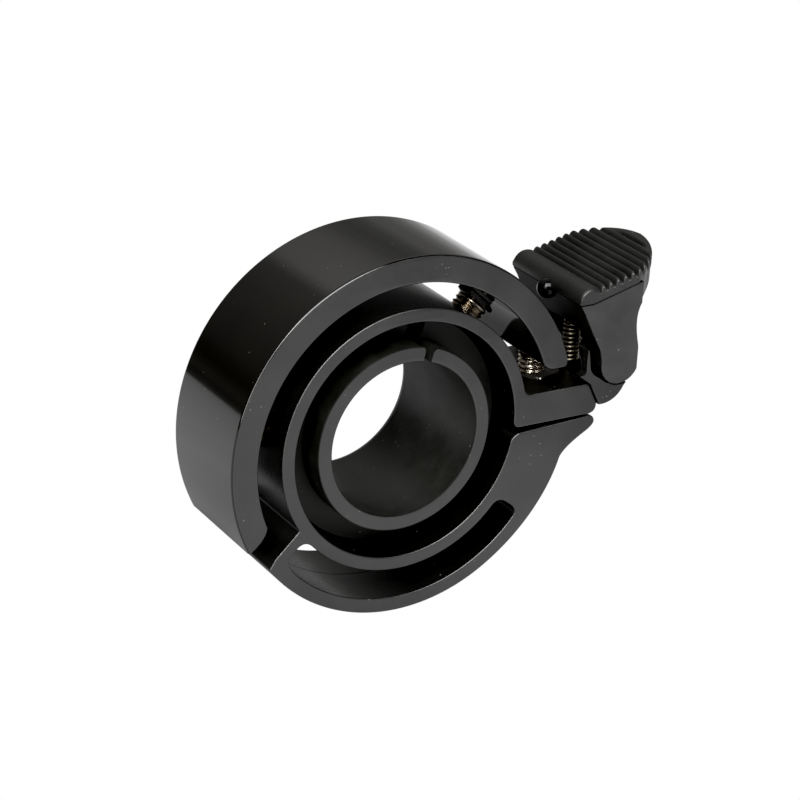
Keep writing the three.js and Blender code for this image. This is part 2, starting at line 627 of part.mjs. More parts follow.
// Side view of the pad: rounded nose, a shallow ribbed scoop, and a thumb end that curls up.
function padOutline() {
  const lift = CLEARANCE;
  const shape = new THREE.Shape();
  const nose = new THREE.Vector2(SEAM[0].x, SEAM[0].y + lift);
  shape.moveTo(nose.x, nose.y);
  shape.lineTo(SEAM[1].x, SEAM[1].y + lift);
  shape.lineTo(SEAM[2].x, SEAM[2].y + lift);
  shape.lineTo(SEAM[2].x, 20.6);
  const scoop = new THREE.CubicBezierCurve(
    new THREE.Vector2(41.3, 20.35),
    new THREE.Vector2(37.6, 19.55),
    new THREE.Vector2(33.8, 18.4),
    new THREE.Vector2(29.4, 17.4),
  );
  const steps = PAD_RIB_COUNT * 4;
  for (let step = 0; step <= steps; step += 1) {
    const point = scoop.getPoint(step / steps);
    const wave = Math.abs(Math.sin((Math.PI * step) / 4));
    const blend = step === 0 ? 0 : 1;
    shape.lineTo(point.x, point.y + PAD_RIB_HEIGHT * (wave - 0.5) * blend);
  }
  const top = nose.y + PAD_THICKNESS_AT_NOSE;
  shape.quadraticCurveTo(27.9, top, 27.3, top - 0.45);
  shape.quadraticCurveTo(nose.x, top - 1.0, nose.x, nose.y + 0.5);
  return shape;
}

function makeThumbPad() {
  const half = LEVER_WIDTH / 2;
  let solid = prism(padOutline(), -half, half, 10);
  solid = solid.intersect(planPrism(headPlan(0), 0, 40));
  const dome = STRIKER_RADIUS + CLEARANCE / 2;
  const cutter = spindle(
    [[0, -dome], [dome * 0.7, -dome * 0.7], [dome, 0], [dome, 3], [0, 3]],
    strikerPoint(0),
    strikerDirection(),
  );
  const stem = rod(STRIKER_STEM_RADIUS + CLEARANCE / 2, STRIKER_STEM_LENGTH + 1);
  const stemCut = spindle(stem, strikerPoint(-STRIKER_STEM_LENGTH - CLEARANCE / 2), strikerDirection());
  return solid.subtract(cutter).subtract(stemCut);
}

function makeStriker() {
  const profile = [
    [0, -STRIKER_STEM_LENGTH],
    [STRIKER_STEM_RADIUS, -STRIKER_STEM_LENGTH],
    [STRIKER_STEM_RADIUS, -STRIKER_RADIUS * 0.75],
  ];
  const steps = 12;
  const start = -Math.acos(STRIKER_STEM_RADIUS / STRIKER_RADIUS);
  for (let step = 0; step <= steps; step += 1) {
    const angle = start + ((Math.PI / 2 - start) * step) / steps;
    const radius = step === steps ? 0 : STRIKER_RADIUS * Math.cos(angle);
    profile.push([radius, STRIKER_RADIUS * Math.sin(angle)]);
  }
  return spindle(profile, strikerPoint(0), strikerDirection());
}

function makeHingePin() {
  const length = PIN_BACK - PIN_FRONT;
  const profile = [
    [0, 0], [PIN_RADIUS - 0.15, 0], [PIN_RADIUS, 0.15], [PIN_RADIUS, length - 0.15],
    [PIN_RADIUS - 0.15, length], [0, length],
  ];
  return spindle(profile, new THREE.Vector3(PIVOT.x, PIN_FRONT, PIVOT.y), new THREE.Vector3(0, 1, 0));
}

// ---------------------------------------------------------------- return spring

class Coil extends THREE.Curve {
  getPoint(t, target = new THREE.Vector3()) {
    const turn = 2 * Math.PI * SPRING_TURNS * t;
    const low = SPRING_BOTTOM + SPRING_WIRE_RADIUS;
    const high = SPRING_TOP - SPRING_WIRE_RADIUS;
    return target.set(
      SPRING_X + SPRING_RADIUS * Math.cos(turn),
      SPRING_RADIUS * Math.sin(turn),
      low + (high - low) * t,
    );
  }
}

function makeReturnSpring() {
  const wire = new THREE.Shape();
  const sides = 6;
  for (let side = 0; side < sides; side += 1) {
    const angle = (2 * Math.PI * side) / sides;
    const x = SPRING_WIRE_RADIUS * Math.cos(angle);
    const y = SPRING_WIRE_RADIUS * Math.sin(angle);
    if (side === 0) {
      wire.moveTo(x, y);
    } else {
      wire.lineTo(x, y);
    }
  }
  const geometry = new THREE.ExtrudeGeometry(wire, { steps: SPRING_TURNS * 10, extrudePath: new Coil() });
  return toSolid(geometry);
}

// ---------------------------------------------------------------- assembly

function material(color, roughness, metalness) {
  return new THREE.MeshStandardMaterial({ color, roughness, metalness });
}

const glossBlack = () => material(0x0b0b0a, 0.12, 0.6);
const satinBlack = () => material(0x1b1b1b, 0.45, 0.1);
const mattBlack = () => material(0x161616, 0.75, 0);
const steel = () => material(0xb9b6b0, 0.25, 1);

const bell = new THREE.Group();

function place(name, solid, finish) {
  const mesh = new THREE.Mesh(toGeometry(solid), finish);
  mesh.name = name;
  bell.add(mesh);
}

place('clamp_band', makeClampBand(), satinBlack());
place('handlebar_sleeve', makeHandlebarSleeve(), mattBlack());
place('gong', makeGong(), glossBlack());
for (const [side, angle] of Object.entries(MOUNT_ANGLES)) {
  place(`gong_screw_${side}`, makeGongScrew(angle), steel());
  place(`gong_collar_${side}`, makeGongCollar(angle), steel());
  place(`gong_grommet_${side}`, makeGongGrommet(angle), mattBlack());
}
place('clamp_bolt', makeClampBolt(), steel());
place('clamp_washer', makeClampWasher(), steel());
place('clamp_nut', makeClampNut(), steel());
place('hinge_base', makeHingeBase(), satinBlack());
place('base_screw_front', makeBaseScrew(-BASE_SCREW_Y), steel());
place('base_screw_back', makeBaseScrew(BASE_SCREW_Y), steel());
place('lever_body', makeLeverBody(), satinBlack());
place('thumb_pad', makeThumbPad(), mattBlack());
place('striker', makeStriker(), glossBlack());
place('hinge_pin', makeHingePin(), steel());
place('return_spring', makeReturnSpring(), steel());

export default bell;
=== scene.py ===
"""Looks for the ring-shaped bicycle bell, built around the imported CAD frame. Metres, +Z up.

The handlebar runs along Y through the origin. Outlines are in the XZ plane, in millimetres, and are
pulled along Y. Angles are in degrees from +X towards +Z.
"""

import math

import bmesh
import bpy
from mathutils import Matrix, Vector
from mathutils.geometry import tessellate_polygon


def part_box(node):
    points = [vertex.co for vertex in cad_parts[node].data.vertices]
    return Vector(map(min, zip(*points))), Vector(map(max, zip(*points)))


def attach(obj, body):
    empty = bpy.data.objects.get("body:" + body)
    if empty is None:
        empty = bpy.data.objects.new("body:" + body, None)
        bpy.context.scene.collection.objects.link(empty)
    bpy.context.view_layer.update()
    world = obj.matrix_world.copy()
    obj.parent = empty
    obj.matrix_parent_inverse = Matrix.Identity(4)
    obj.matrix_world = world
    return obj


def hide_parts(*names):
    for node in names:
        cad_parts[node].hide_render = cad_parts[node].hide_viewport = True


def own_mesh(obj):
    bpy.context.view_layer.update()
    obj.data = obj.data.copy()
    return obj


MM = 0.001

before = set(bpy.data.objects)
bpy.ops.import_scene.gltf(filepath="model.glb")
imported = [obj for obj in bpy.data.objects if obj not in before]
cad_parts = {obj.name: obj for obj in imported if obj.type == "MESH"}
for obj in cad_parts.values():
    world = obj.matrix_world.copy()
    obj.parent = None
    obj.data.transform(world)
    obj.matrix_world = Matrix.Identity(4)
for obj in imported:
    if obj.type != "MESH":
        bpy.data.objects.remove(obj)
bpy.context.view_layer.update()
band_low, band_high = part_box("clamp_band")
gong_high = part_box("gong")[1]
sleeve_low, sleeve_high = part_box("handlebar_sleeve")
spring_low, spring_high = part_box("return_spring")
pin_low, pin_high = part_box("hinge_pin")
nut_low, nut_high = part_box("clamp_nut")
bolt_low, bolt_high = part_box("clamp_bolt")
lever_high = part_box("lever_body")[1]

BAND_HALF = band_high.y / MM
GONG_HALF = gong_high.y / MM
LEVER_HALF = lever_high.y / MM
PIVOT = ((pin_low.x + pin_high.x) / 2 / MM, (pin_low.z + pin_high.z) / 2 / MM)
AXIS = 0.001  # radius in mm of a row of points that closes a turned piece on its own axis

# ------------------------------------------------------------------ outlines


def polar(radius, degrees, centre=(0, 0)):
    a = math.radians(degrees)
    return (centre[0] + radius * math.cos(a), centre[1] + radius * math.sin(a))


def arc(centre, radius, start, end, step=1.5):
    """Points on a circle, about `step` degrees apart."""
    count = max(2, int(abs(end - start) / step))
    return [polar(radius, start + (end - start) * i / count, centre) for i in range(count + 1)]


def quad(p0, p1, p2, count=10):
    """A curve from p0 to p2, drawn towards p1."""
    out = []
    for i in range(count + 1):
        t = i / count
        k = ((1 - t) ** 2, 2 * t * (1 - t), t * t)
        out.append(tuple(k[0] * a + k[1] * b + k[2] * c for a, b, c in zip(p0, p1, p2)))
    return out


def cubic(p0, p1, p2, p3, count):
    """A curve from p0 to p3, drawn towards p1 and then towards p2."""
    out = []
    for i in range(count + 1):
        t = i / count
        k = ((1 - t) ** 3, 3 * t * (1 - t) ** 2, 3 * t * t * (1 - t), t**3)
        out.append(tuple(sum(w * p[j] for w, p in zip(k, (p0, p1, p2, p3))) for j in (0, 1)))
    return out


def tidy_loop(points, least=0.02):
    """Drops points closer than `least` to the one before."""
    out = []
    for p in points:
        if not out or math.dist(p, out[-1]) > least:
            out.append(p)
    while len(out) > 1 and math.dist(out[0], out[-1]) <= least:
        out.pop()
    return out


def fillet(points, radius, least_turn=25):
    """Rounds each corner that turns by at least `least_turn` degrees."""
    out = []
    for i, p in enumerate(points):
        before = Vector(points[i - 1]) - Vector(p)
        after = Vector(points[(i + 1) % len(points)]) - Vector(p)
        turn = 180 - math.degrees(before.angle(after))
        if turn < least_turn:
            out.append(p)
            continue
        reach = min(radius * math.tan(math.radians(turn / 2)), before.length * 0.45, after.length * 0.45)
        start = Vector(p) + before.normalized() * reach
        end = Vector(p) + after.normalized() * reach
        out += quad(tuple(start), p, tuple(end), 6)
    return out


def area(points):
    """Positive for a counter-clockwise loop."""
    return sum(p[0] * q[1] - q[0] * p[1] for p, q in zip(points, points[1:] + points[:1])) / 2


def inset(points, distance):
    """The loop moved `distance` to its left, which is inwards for a counter-clockwise loop."""
    out = []
    for i, p in enumerate(points):
        e0 = (Vector(p) - Vector(points[i - 1])).normalized()
        e1 = (Vector(points[(i + 1) % len(points)]) - Vector(p)).normalized()
        n0, n1 = Vector((-e0.y, e0.x)), Vector((-e1.y, e1.x))
        m = n0 + n1
        k = distance / max(0.35, (1 + n0.dot(n1)) / 2) / 2
        out.append((p[0] + m.x * k, p[1] + m.y * k))
    return out


def heights(low, high, step):
    """Even steps from low to high, about `step` apart."""
    count = max(1, int((high - low) / step))
    return [low + (high - low) * i / count for i in range(count + 1)]


# ------------------------------------------------------------------ mesh builders


def new_object(name, data):
    obj = bpy.data.objects.new(name, data)
    bpy.context.scene.collection.objects.link(obj)
    return obj


def mesh_object(name, bm):
    mesh = bpy.data.meshes.new(name)
    bm.to_mesh(mesh)
    bm.free()
    return new_object(name, mesh)


def heal(bm):
    """Welds the points that coincide and turns every face outwards."""
    bmesh.ops.remove_doubles(bm, verts=bm.verts, dist=1e-7)
    bmesh.ops.recalc_face_normals(bm, faces=bm.faces)


def finish_mesh(name, bm, body, material, smooth=32):
    """A visible piece. Edges that turn by more than `smooth` degrees stay sharp."""
    heal(bm)
    for edge in bm.edges:
        if len(edge.link_faces) == 2 and edge.calc_face_angle(0) > math.radians(smooth):
            edge.smooth = False
    for face in bm.faces:
        face.smooth = True
    obj = mesh_object(name, bm)
    obj.data.materials.append(material)
    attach(obj, body)
    return obj


def weighted(obj):
    """Lets the large flat faces set the shading of their rims."""
    mod = obj.modifiers.new("flat faces", "WEIGHTED_NORMAL")
    mod.keep_sharp = True
    mod.weight = 80
    return obj


def face_ends(obj, material, least=0.93):
    """Gives the faces that look along Y another finish."""
    obj.data.materials.append(material)
    for poly in obj.data.polygons:
        if abs(poly.normal.y) > least:
            poly.material_index = 1
    return obj


def add_slab(bm, loops, y_low, y_high, bevel, steps):
    """Pulls an outline (first loop) with holes (other loops) along Y and rounds its rims."""
    levels = []
    for i in range(steps + 1):
        a = math.pi / 2 * i / steps
        levels.append((bevel * (1 - math.sin(a)), bevel * (1 - math.cos(a))))
    profile = [(y_low + dy, d) for d, dy in levels]
    profile += [(y_high - dy, d) for d, dy in reversed(levels)]
    rings = []
    for number, loop in enumerate(loops):
        ccw = area(loop) > 0
        points = list(loop) if ccw == (number == 0) else list(reversed(loop))
        made = []
        for y, d in profile:
            at = inset(points, d) if d > 0 else points
            made.append([bm.verts.new((x * MM, y * MM, z * MM)) for x, z in at])
        n = len(points)
        for low, high in zip(made, made[1:]):
            for i in range(n):
                bm.faces.new((low[i], low[(i + 1) % n], high[(i + 1) % n], high[i]))
        rings.append(made)
    for end in (0, -1):
        verts = [v for ring in rings for v in ring[end]]
        polygons = [[Vector((v.co.x, v.co.z, 0)) for v in ring[end]] for ring in rings]
        for tri in tessellate_polygon(polygons):
            try:
                bm.faces.new([verts[i] for i in tri])
            except ValueError:  # bmesh refuses a triangle that is there already
                pass


def slab(loops, y_low, y_high, bevel, steps):
    bm = bmesh.new()
    add_slab(bm, loops, y_low, y_high, bevel, steps)
    return bm


def add_grid(bm, rows):
    """Joins rings of points into a skin, and closes both ends."""
    made = [[bm.verts.new(p) for p in row] for row in rows]
    n = len(made[0])
    for low, high in zip(made, made[1:]):
        for i in range(n):
            j = (i + 1) % n
            bm.faces.new((low[i], low[j], high[j], high[i]))
    bm.faces.new(list(reversed(made[0])))
    bm.faces.new(made[-1])


def grid(rows):
    bm = bmesh.new()
    add_grid(bm, rows)
    return bm


def loose(bm):
    """An object to cut, or to cut another one with."""
    heal(bm)
    return mesh_object("cutter", bm)


def column(outline, z_low, z_high):
    """A loose upright block. The outline is in the XY plane."""
    return loose(grid([[(x * MM, y * MM, z * MM) for x, y in outline] for z in (z_low, z_high)]))


def boolean(obj, cutter, operation):
    """Cuts a loose object with another one, which is removed."""
    mod = obj.modifiers.new("cut", "BOOLEAN")
    mod.operation = operation
    mod.solver = "EXACT"
    mod.object = cutter
    dg = bpy.context.evaluated_depsgraph_get()
    mesh = bpy.data.meshes.new_from_object(obj.evaluated_get(dg))
    obj.modifiers.remove(mod)
    old = obj.data
    obj.data = mesh
    bpy.data.meshes.remove(old)
    bpy.data.objects.remove(cutter)


def taken(obj):
    """The mesh of a loose object, which is removed."""
    bm = bmesh.new()
    bm.from_mesh(obj.data)
    bpy.data.objects.remove(obj)
    return bm


def spun(name, profile, origin, direction, body, material, segments=64, shape=None, smooth=32):
    """A piece turned about `direction`. The profile holds (radius, height) in mm; `shape` may change
    the radius as shape(radius, height, angle)."""
    turn = Vector((0, 0, 1)).rotation_difference(Vector(direction)).to_matrix().to_4x4()
    matrix = Matrix.Translation(Vector(origin)) @ turn
    rows = []
    for radius, height in profile:
        row = []
        for i in range(segments):
            a = 2 * math.pi * i / segments
            r = shape(radius, height, a) if shape else radius
            row.append(matrix @ Vector((r * math.cos(a) * MM, r * math.sin(a) * MM, height * MM)))
        rows.append(row)
    return finish_mesh(name, grid(rows), body, material, smooth)


def hexagon(across_flats):
    """A shape rule: the turned radius is cut down to a hexagon."""

    def rule(radius, height, angle):
        sector = (angle + math.pi / 6) % (math.pi / 3) - math.pi / 6
        return min(radius, across_flats / 2 / math.cos(sector))

    return rule


NARROW_CREST = 0.7  # a power below 1 makes the crests narrower than the grooves


def thread(pitch, depth, start, end):
    """A shape rule: a helical groove between two heights."""

    def rule(radius, height, angle):
        if not start <= height <= end:
            return radius
        fade = min(1, (height - start) / pitch, (end - height) / pitch)
        phase = (height / pitch - angle / (2 * math.pi)) % 1
        return radius - depth * fade * abs(2 * phase - 1) ** NARROW_CREST

    return rule


def corners(across_flats):
    """How far a hexagon's corners are from its middle."""
    return across_flats / math.sqrt(3)


# ------------------------------------------------------------------ node helpers

# ShaderNodeMix has sockets for every kind of value, so the ones used here go by number.
FACTOR = 0
NUMBER_A, NUMBER_B = 2, 3
COLOUR_A, COLOUR_B, COLOUR_OUT = 6, 7, 2


def node(tree, kind, operation=None, **inputs):
    made = tree.nodes.new(kind)
    if operation:
        made.operation = operation
    for key, value in inputs.items():
        made.inputs[key.replace("_", " ")].default_value = value
    return made


def wire(tree, source, output, target, socket):
    tree.links.new(source.outputs[output], target.inputs[socket])


def ramp(tree, source, output, stops):
    """Colours or brightnesses along a value that runs from 0 to 1."""
    made = node(tree, "ShaderNodeValToRGB")
    while len(made.color_ramp.elements) < len(stops):
        made.color_ramp.elements.new(0.5)
    for element, (position, value) in zip(made.color_ramp.elements, stops):
        element.position = position
        element.color = (*value, 1) if isinstance(value, tuple) else (value, value, value, 1)
    wire(tree, source, output, made, "Fac")
    return made


def product(tree, one, two):
    made = node(tree, "ShaderNodeMath", "MULTIPLY")
    wire(tree, one, 0, made, 0)
    wire(tree, two, 0, made, 1)
    return made


def scaled(tree, source, output, low, high, kind="LINEAR"):
    """A value moved to 0..1 as it goes from low to high."""
    made = node(tree, "ShaderNodeMapRange", From_Min=low, From_Max=high)
    made.interpolation_type = kind
    wire(tree, source, output, made, "Value")
    return made


def curve_of(tree, source, output, stops):
    """Brightness as a rule of one value, straight between the stops. Stops are (value, brightness)."""
    low, high = stops[0][0], stops[-1][0]
    top = max(b for _, b in stops)
    made = ramp(tree, scaled(tree, source, output, low, high), "Result",
                [((v - low) / (high - low), b / top) for v, b in stops])
    gain = node(tree, "ShaderNodeMath", "MULTIPLY")
    gain.inputs[1].default_value = top
    wire(tree, made, "Color", gain, 0)
    return gain


def blended(tree, factor, one, two):
    """Goes from `one` to `two` as the factor goes from 0 to 1. `two` may be a plain number."""
    made = node(tree, "ShaderNodeMix")
    wire(tree, factor, "Result", made, FACTOR)
    wire(tree, one, 0, made, NUMBER_A)
    if isinstance(two, int):
        made.inputs[NUMBER_B].default_value = two
    else:
        wire(tree, two, 0, made, NUMBER_B)
    return made


def distance_from(tree, coordinates, centre):
    """How far a point of the surface is from the centre."""
    moved = node(tree, "ShaderNodeVectorMath", "ADD")
    moved.inputs[1].default_value = [-c for c in centre]
    wire(tree, coordinates, "Object", moved, 0)
    far = node(tree, "ShaderNodeVectorMath", "LENGTH")
    wire(tree, moved, 0, far, 0)
    return far


def white_to_camera(tree, lit, target):
    """A surface that is plain white where it is seen, and lights the bell as `lit`."""
    plain = node(tree, "ShaderNodeEmission")
    seen = node(tree, "ShaderNodeLightPath")
    either = node(tree, "ShaderNodeMixShader")
    wire(tree, seen, "Is Camera Ray", either, 0)
    wire(tree, lit, 0, either, 1)
    wire(tree, plain, 0, either, 2)
    wire(tree, either, 0, target, "Surface")


# ------------------------------------------------------------------ materials

GRAIN_DEPTH = 0.00004
DUST_COLOUR = (0.32, 0.31, 0.29, 1)


def new_material(name, colour, roughness, metallic=0.0, **sockets):
    mat = bpy.data.materials.new(name)
    mat.use_nodes = True
    shader = mat.node_tree.nodes["Principled BSDF"]
    shader.inputs["Base Color"].default_value = (*colour, 1)
    shader.inputs["Roughness"].default_value = roughness
    shader.inputs["Metallic"].default_value = metallic
    for key, value in sockets.items():
        shader.inputs[key.replace("_", " ")].default_value = value
    return mat


def textured(mat, dark, light, scale, grain_scale, bump, rough, dust=0.0):
    """Fine grain, faint blotches of colour and gloss, and a few specks of dust."""
    tree = mat.node_tree
    shader = tree.nodes["Principled BSDF"]
    coordinates = node(tree, "ShaderNodeTexCoord")
    blotch = node(tree, "ShaderNodeTexNoise", Scale=scale, Detail=5.0, Roughness=0.6)
    wire(tree, coordinates, "Object", blotch, "Vector")
    tint = ramp(tree, blotch, "Fac", [(0.3, dark), (0.72, light)])
    gloss = ramp(tree, blotch, "Fac", [(0.3, rough[0]), (0.7, rough[1])])
    wire(tree, gloss, "Color", shader, "Roughness")
    grain = node(tree, "ShaderNodeTexNoise", Scale=grain_scale, Detail=3.0, Roughness=0.55)
    wire(tree, coordinates, "Object", grain, "Vector")
    lump = node(tree, "ShaderNodeBump", Strength=bump, Distance=GRAIN_DEPTH)
    wire(tree, grain, "Fac", lump, "Height")
    wire(tree, lump, "Normal", shader, "Normal")
    if dust > 0:
        specks = node(tree, "ShaderNodeTexVoronoi", Scale=900.0, Randomness=1.0)
        wire(tree, coordinates, "Object", specks, "Vector")
        rare = node(tree, "ShaderNodeTexNoise", Scale=210.0, Detail=2.0)
        wire(tree, coordinates, "Object", rare, "Vector")
        dots = ramp(tree, specks, "Distance", [(0.0, 1.0), (0.1, 0.0)])
        patch = ramp(tree, rare, "Fac", [(0.53, 0.0), (0.6, dust)])
        mix = node(tree, "ShaderNodeMix")
        mix.data_type = "RGBA"
        wire(tree, product(tree, dots, patch), 0, mix, FACTOR)
        wire(tree, tint, "Color", mix, COLOUR_A)
        mix.inputs[COLOUR_B].default_value = DUST_COLOUR
        wire(tree, mix, COLOUR_OUT, shader, "Base Color")
    else:
        wire(tree, tint, "Color", shader, "Base Color")
    return mat


GLOSS = textured(
    new_material("gong lacquer", (0.001, 0.001, 0.001), 0.06, IOR=1.5),
    (0.0006, 0.0006, 0.0004), (0.002, 0.0016, 0.001),
    scale=60, grain_scale=2600, bump=0.03, rough=(0.05, 0.09), dust=0.35,
)
FACE = textured(
    new_material("satin end", (0.008, 0.008, 0.008), 0.42, IOR=1.5, Specular_IOR_Level=0.74),
    (0.005, 0.005, 0.0054), (0.014, 0.014, 0.0134),
    scale=110, grain_scale=5200, bump=0.18, rough=(0.33, 0.47), dust=0.6,
)
LEVER_FACE = textured(
    new_material("satin lever side", (0.012, 0.012, 0.012), 0.42, IOR=1.5, Specular_IOR_Level=0.9),
    (0.007, 0.007, 0.0074), (0.019, 0.019, 0.0182),
    scale=170, grain_scale=5200, bump=0.2, rough=(0.33, 0.47), dust=0.9,
)
BAND = textured(
    new_material("band moulding", (0.0015, 0.0015, 0.0015), 0.28, IOR=1.5, Specular_IOR_Level=0.2),
    (0.001, 0.001, 0.001), (0.0025, 0.0025, 0.0022),
    scale=120, grain_scale=5600, bump=0.05, rough=(0.22, 0.34), dust=0.6,
)
SLEEVE = textured(
    new_material("sleeve moulding", (0.004, 0.004, 0.004), 0.42, IOR=1.5, Specular_IOR_Level=0.24),
    (0.002, 0.002, 0.0015), (0.007, 0.007, 0.006),
    scale=260, grain_scale=3200, bump=0.35, rough=(0.36, 0.5), dust=0.55,
)
LEVER = textured(
    new_material("lever moulding", (0.0015, 0.0015, 0.0015), 0.4, IOR=1.5, Specular_IOR_Level=0.14),
    (0.001, 0.001, 0.001), (0.003, 0.003, 0.0027),
    scale=150, grain_scale=5600, bump=0.14, rough=(0.34, 0.46), dust=0.3,
)
PAD = textured(
    new_material("pad elastomer", (0.004, 0.004, 0.004), 0.5, IOR=1.45, Specular_IOR_Level=0.38),
    (0.0025, 0.0025, 0.002), (0.006, 0.006, 0.0052),
    scale=180, grain_scale=4200, bump=0.25, rough=(0.4, 0.55), dust=0.4,
)
DOME = textured(
    new_material("striker gloss", (0.001, 0.001, 0.001), 0.12, IOR=1.5, Specular_IOR_Level=0.18),
    (0.0008, 0.0008, 0.0008), (0.002, 0.002, 0.002),
    scale=200, grain_scale=3000, bump=0.02, rough=(0.1, 0.14),
)
STEEL = textured(
    new_material("plated steel", (0.62, 0.59, 0.55), 0.22, 1.0),
    (0.5, 0.46, 0.41), (0.68, 0.66, 0.62),
    scale=420, grain_scale=5200, bump=0.12, rough=(0.16, 0.3),
)
# Blackened steel for the mounting nuts. On the lug nut it is painted shade on the flat top and in the
# thread.
DARK_STEEL_AND_SHADE = textured(
    new_material("blackened steel", (0.045, 0.043, 0.04), 0.3, 0.6),
    (0.03, 0.029, 0.027), (0.06, 0.057, 0.052),
    scale=420, grain_scale=5200, bump=0.12, rough=(0.24, 0.36),
)
SPRING = textured(
    new_material("spring wire", (0.14, 0.12, 0.09), 0.34, 1.0),
    (0.06, 0.05, 0.038), (0.19, 0.165, 0.125),
    scale=700, grain_scale=5200, bump=0.12, rough=(0.28, 0.42),
)
THREAD = textured(
    new_material("oiled steel", (0.45, 0.38, 0.3), 0.26, 1.0),
    (0.3, 0.24, 0.17), (0.58, 0.52, 0.44),
    scale=420, grain_scale=5200, bump=0.10, rough=(0.2, 0.32),
)
SOFT = textured(
    new_material("soft washer", (0.012, 0.012, 0.012), 0.7),
    (0.01, 0.01, 0.01), (0.016, 0.016, 0.016),
    scale=500, grain_scale=4000, bump=0.2, rough=(0.65, 0.75),
)

# ------------------------------------------------------------------ gong

GONG_OUTER = gong_high.z / MM
GONG_INNER = 22.4
GONG_TAIL = 206.7  # where the outer edge ends, beside the crescent
TONGUE_Z = 6.55  # the open end, on the lever's side


def gong_outline():
    start = math.degrees(math.atan2(7.9, 25.1))
    inner_start = math.degrees(math.atan2(8.6, 20.8))
    # the outer edge and the closed end
    points = arc((0, 0), GONG_OUTER, start, GONG_TAIL, 1.0)
    points += [(-22.9, -11.65), (-22.3, -11.2)]
    points += quad((-21.6, -10.5), (-20.6, -9.2), (-20.75, -8.3), 8)
    # the inner edge and the tongue
    points += arc((0, 0), GONG_INNER, 201.2, inner_start, 1.0)
    points += quad((20.75, TONGUE_Z + 1.9), (21.2, TONGUE_Z + 0.25), (22.7, TONGUE_Z), 8)
    points += quad((24.4, TONGUE_Z), (25.1, TONGUE_Z), (25.1, TONGUE_Z + 0.7), 8)
    return tidy_loop(points, 0.03)


ring = slab([gong_outline()], -GONG_HALF, GONG_HALF, bevel=0.36, steps=3)
gong = finish_mesh("gong_ring", ring, "bell", GLOSS)
face_ends(weighted(gong), FACE)
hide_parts("gong")

# ------------------------------------------------------------------ clamp band

BORE_RADIUS = 16.95
BAND_RADIUS = 18.85
CRESCENT_RADIUS = 25.2
CRESCENT_STEP = -147.7  # where the crescent leaves the ring, beside the gong's closed end
LUG_TOP = 3.34
LUG_BOTTOM = -1.25


def band_outline():
    # the upper lug: its underside, rounded tip, slanted end face and top
    start = polar(BORE_RADIUS, -1)
    points = quad(start, (BORE_RADIUS + 0.1, LUG_BOTTOM), (BORE_RADIUS + 1, LUG_BOTTOM), 8)
    points += arc((29.35, LUG_BOTTOM + 1.15), 1.15, -90, 0, 10)
    points += [(30.5, 0.3), (29.1, 3.05)]
    points += quad((29.1, 3.05), (28.95, LUG_TOP), (28.6, LUG_TOP), 4)
    # the ring, the step and the crescent
    root = math.degrees(math.asin(LUG_TOP / BAND_RADIUS))
    points += quad((19.6, LUG_TOP), (18.75, 3.36), polar(BAND_RADIUS, root + 2.2), 5)
    points += arc((0, 0), BAND_RADIUS, root + 2.4, 360 + CRESCENT_STEP)
    points += [polar(23.65, -145.2)]
    points += arc((0, 0), CRESCENT_RADIUS, -143.7, -60, 1.2)
    # the flank that swells towards the lower lug, and that lug's tip
    points += cubic(polar(CRESCENT_RADIUS, -60), (19.3, -17.9), (23.4, -12.2), (24.95, -7.1), 26)
    points += quad((24.95, -7.1), (25.5, -5.75), (29.1, -3.8), 12)
    points += quad((29.1, -3.8), (30.45, -3.0), (30.35, -2.35), 6)
    points += quad((30.35, -2.35), (30.15, -1.5), (29.2, -1.55), 6)
    # the lower side of the slot, and the bore
    points += quad((18.1, -2.1), (17.2, -2.2), polar(BORE_RADIUS, -10.5), 8)
    points += arc((0, 0), BORE_RADIUS, -10.5, -359)
    return tidy_loop(fillet(tidy_loop(points, 0.03), 0.35))


def window_outline():
    """The kidney-shaped opening in the crescent."""
    outer, inner = 23.1, BAND_RADIUS
    low, high = -142.0, -36.6
    points = arc((0, 0), outer, low + 7, high - 3.2, 1.2)
    points += quad(polar(outer, high - 3.2), polar(outer, high), polar(outer - 1.7, high), 8)
    points += quad(polar(inner + 1.7, high), polar(inner, high), polar(inner, high - 4.6))
    points += arc((0, 0), inner, high - 4.6, low + 6, 1.2)
    points += quad(polar(inner, low + 6), polar(inner, low), polar(inner + 1.5, low))
    points += quad(polar(outer - 1.7, low), polar(outer, low), polar(outer, low + 7))
    return tidy_loop(points, 0.03)


NUT_FLATS = 7.0
NUT_TURN = 16
POCKET_CORNERS = corners(NUT_FLATS + 0.3)
MOULDING_DEPTH = 0.14  # of the line half way through the window
MOULDING_HALF = 0.09
bolt_x = (bolt_low.x + bolt_high.x) / 2
nut_pocket = [polar(POCKET_CORNERS, NUT_TURN + 60 * i, (bolt_x / MM, 0)) for i in range(6)]

band = loose(slab([band_outline(), window_outline()], -BAND_HALF, BAND_HALF, bevel=0.22, steps=3))
boolean(band, column(nut_pocket, nut_low.z / MM - 0.15, nut_high.z / MM + 2), "DIFFERENCE")
wider_window = inset(window_outline(), -MOULDING_DEPTH)
moulding_line = slab([wider_window], -MOULDING_HALF, MOULDING_HALF, bevel=0.01, steps=1)
boolean(band, loose(moulding_line), "DIFFERENCE")
band = weighted(finish_mesh("clamp_ring", taken(band), "bell", BAND))
face_ends(band, FACE, 0.7)
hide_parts("clamp_band")

# ------------------------------------------------------------------ sleeve

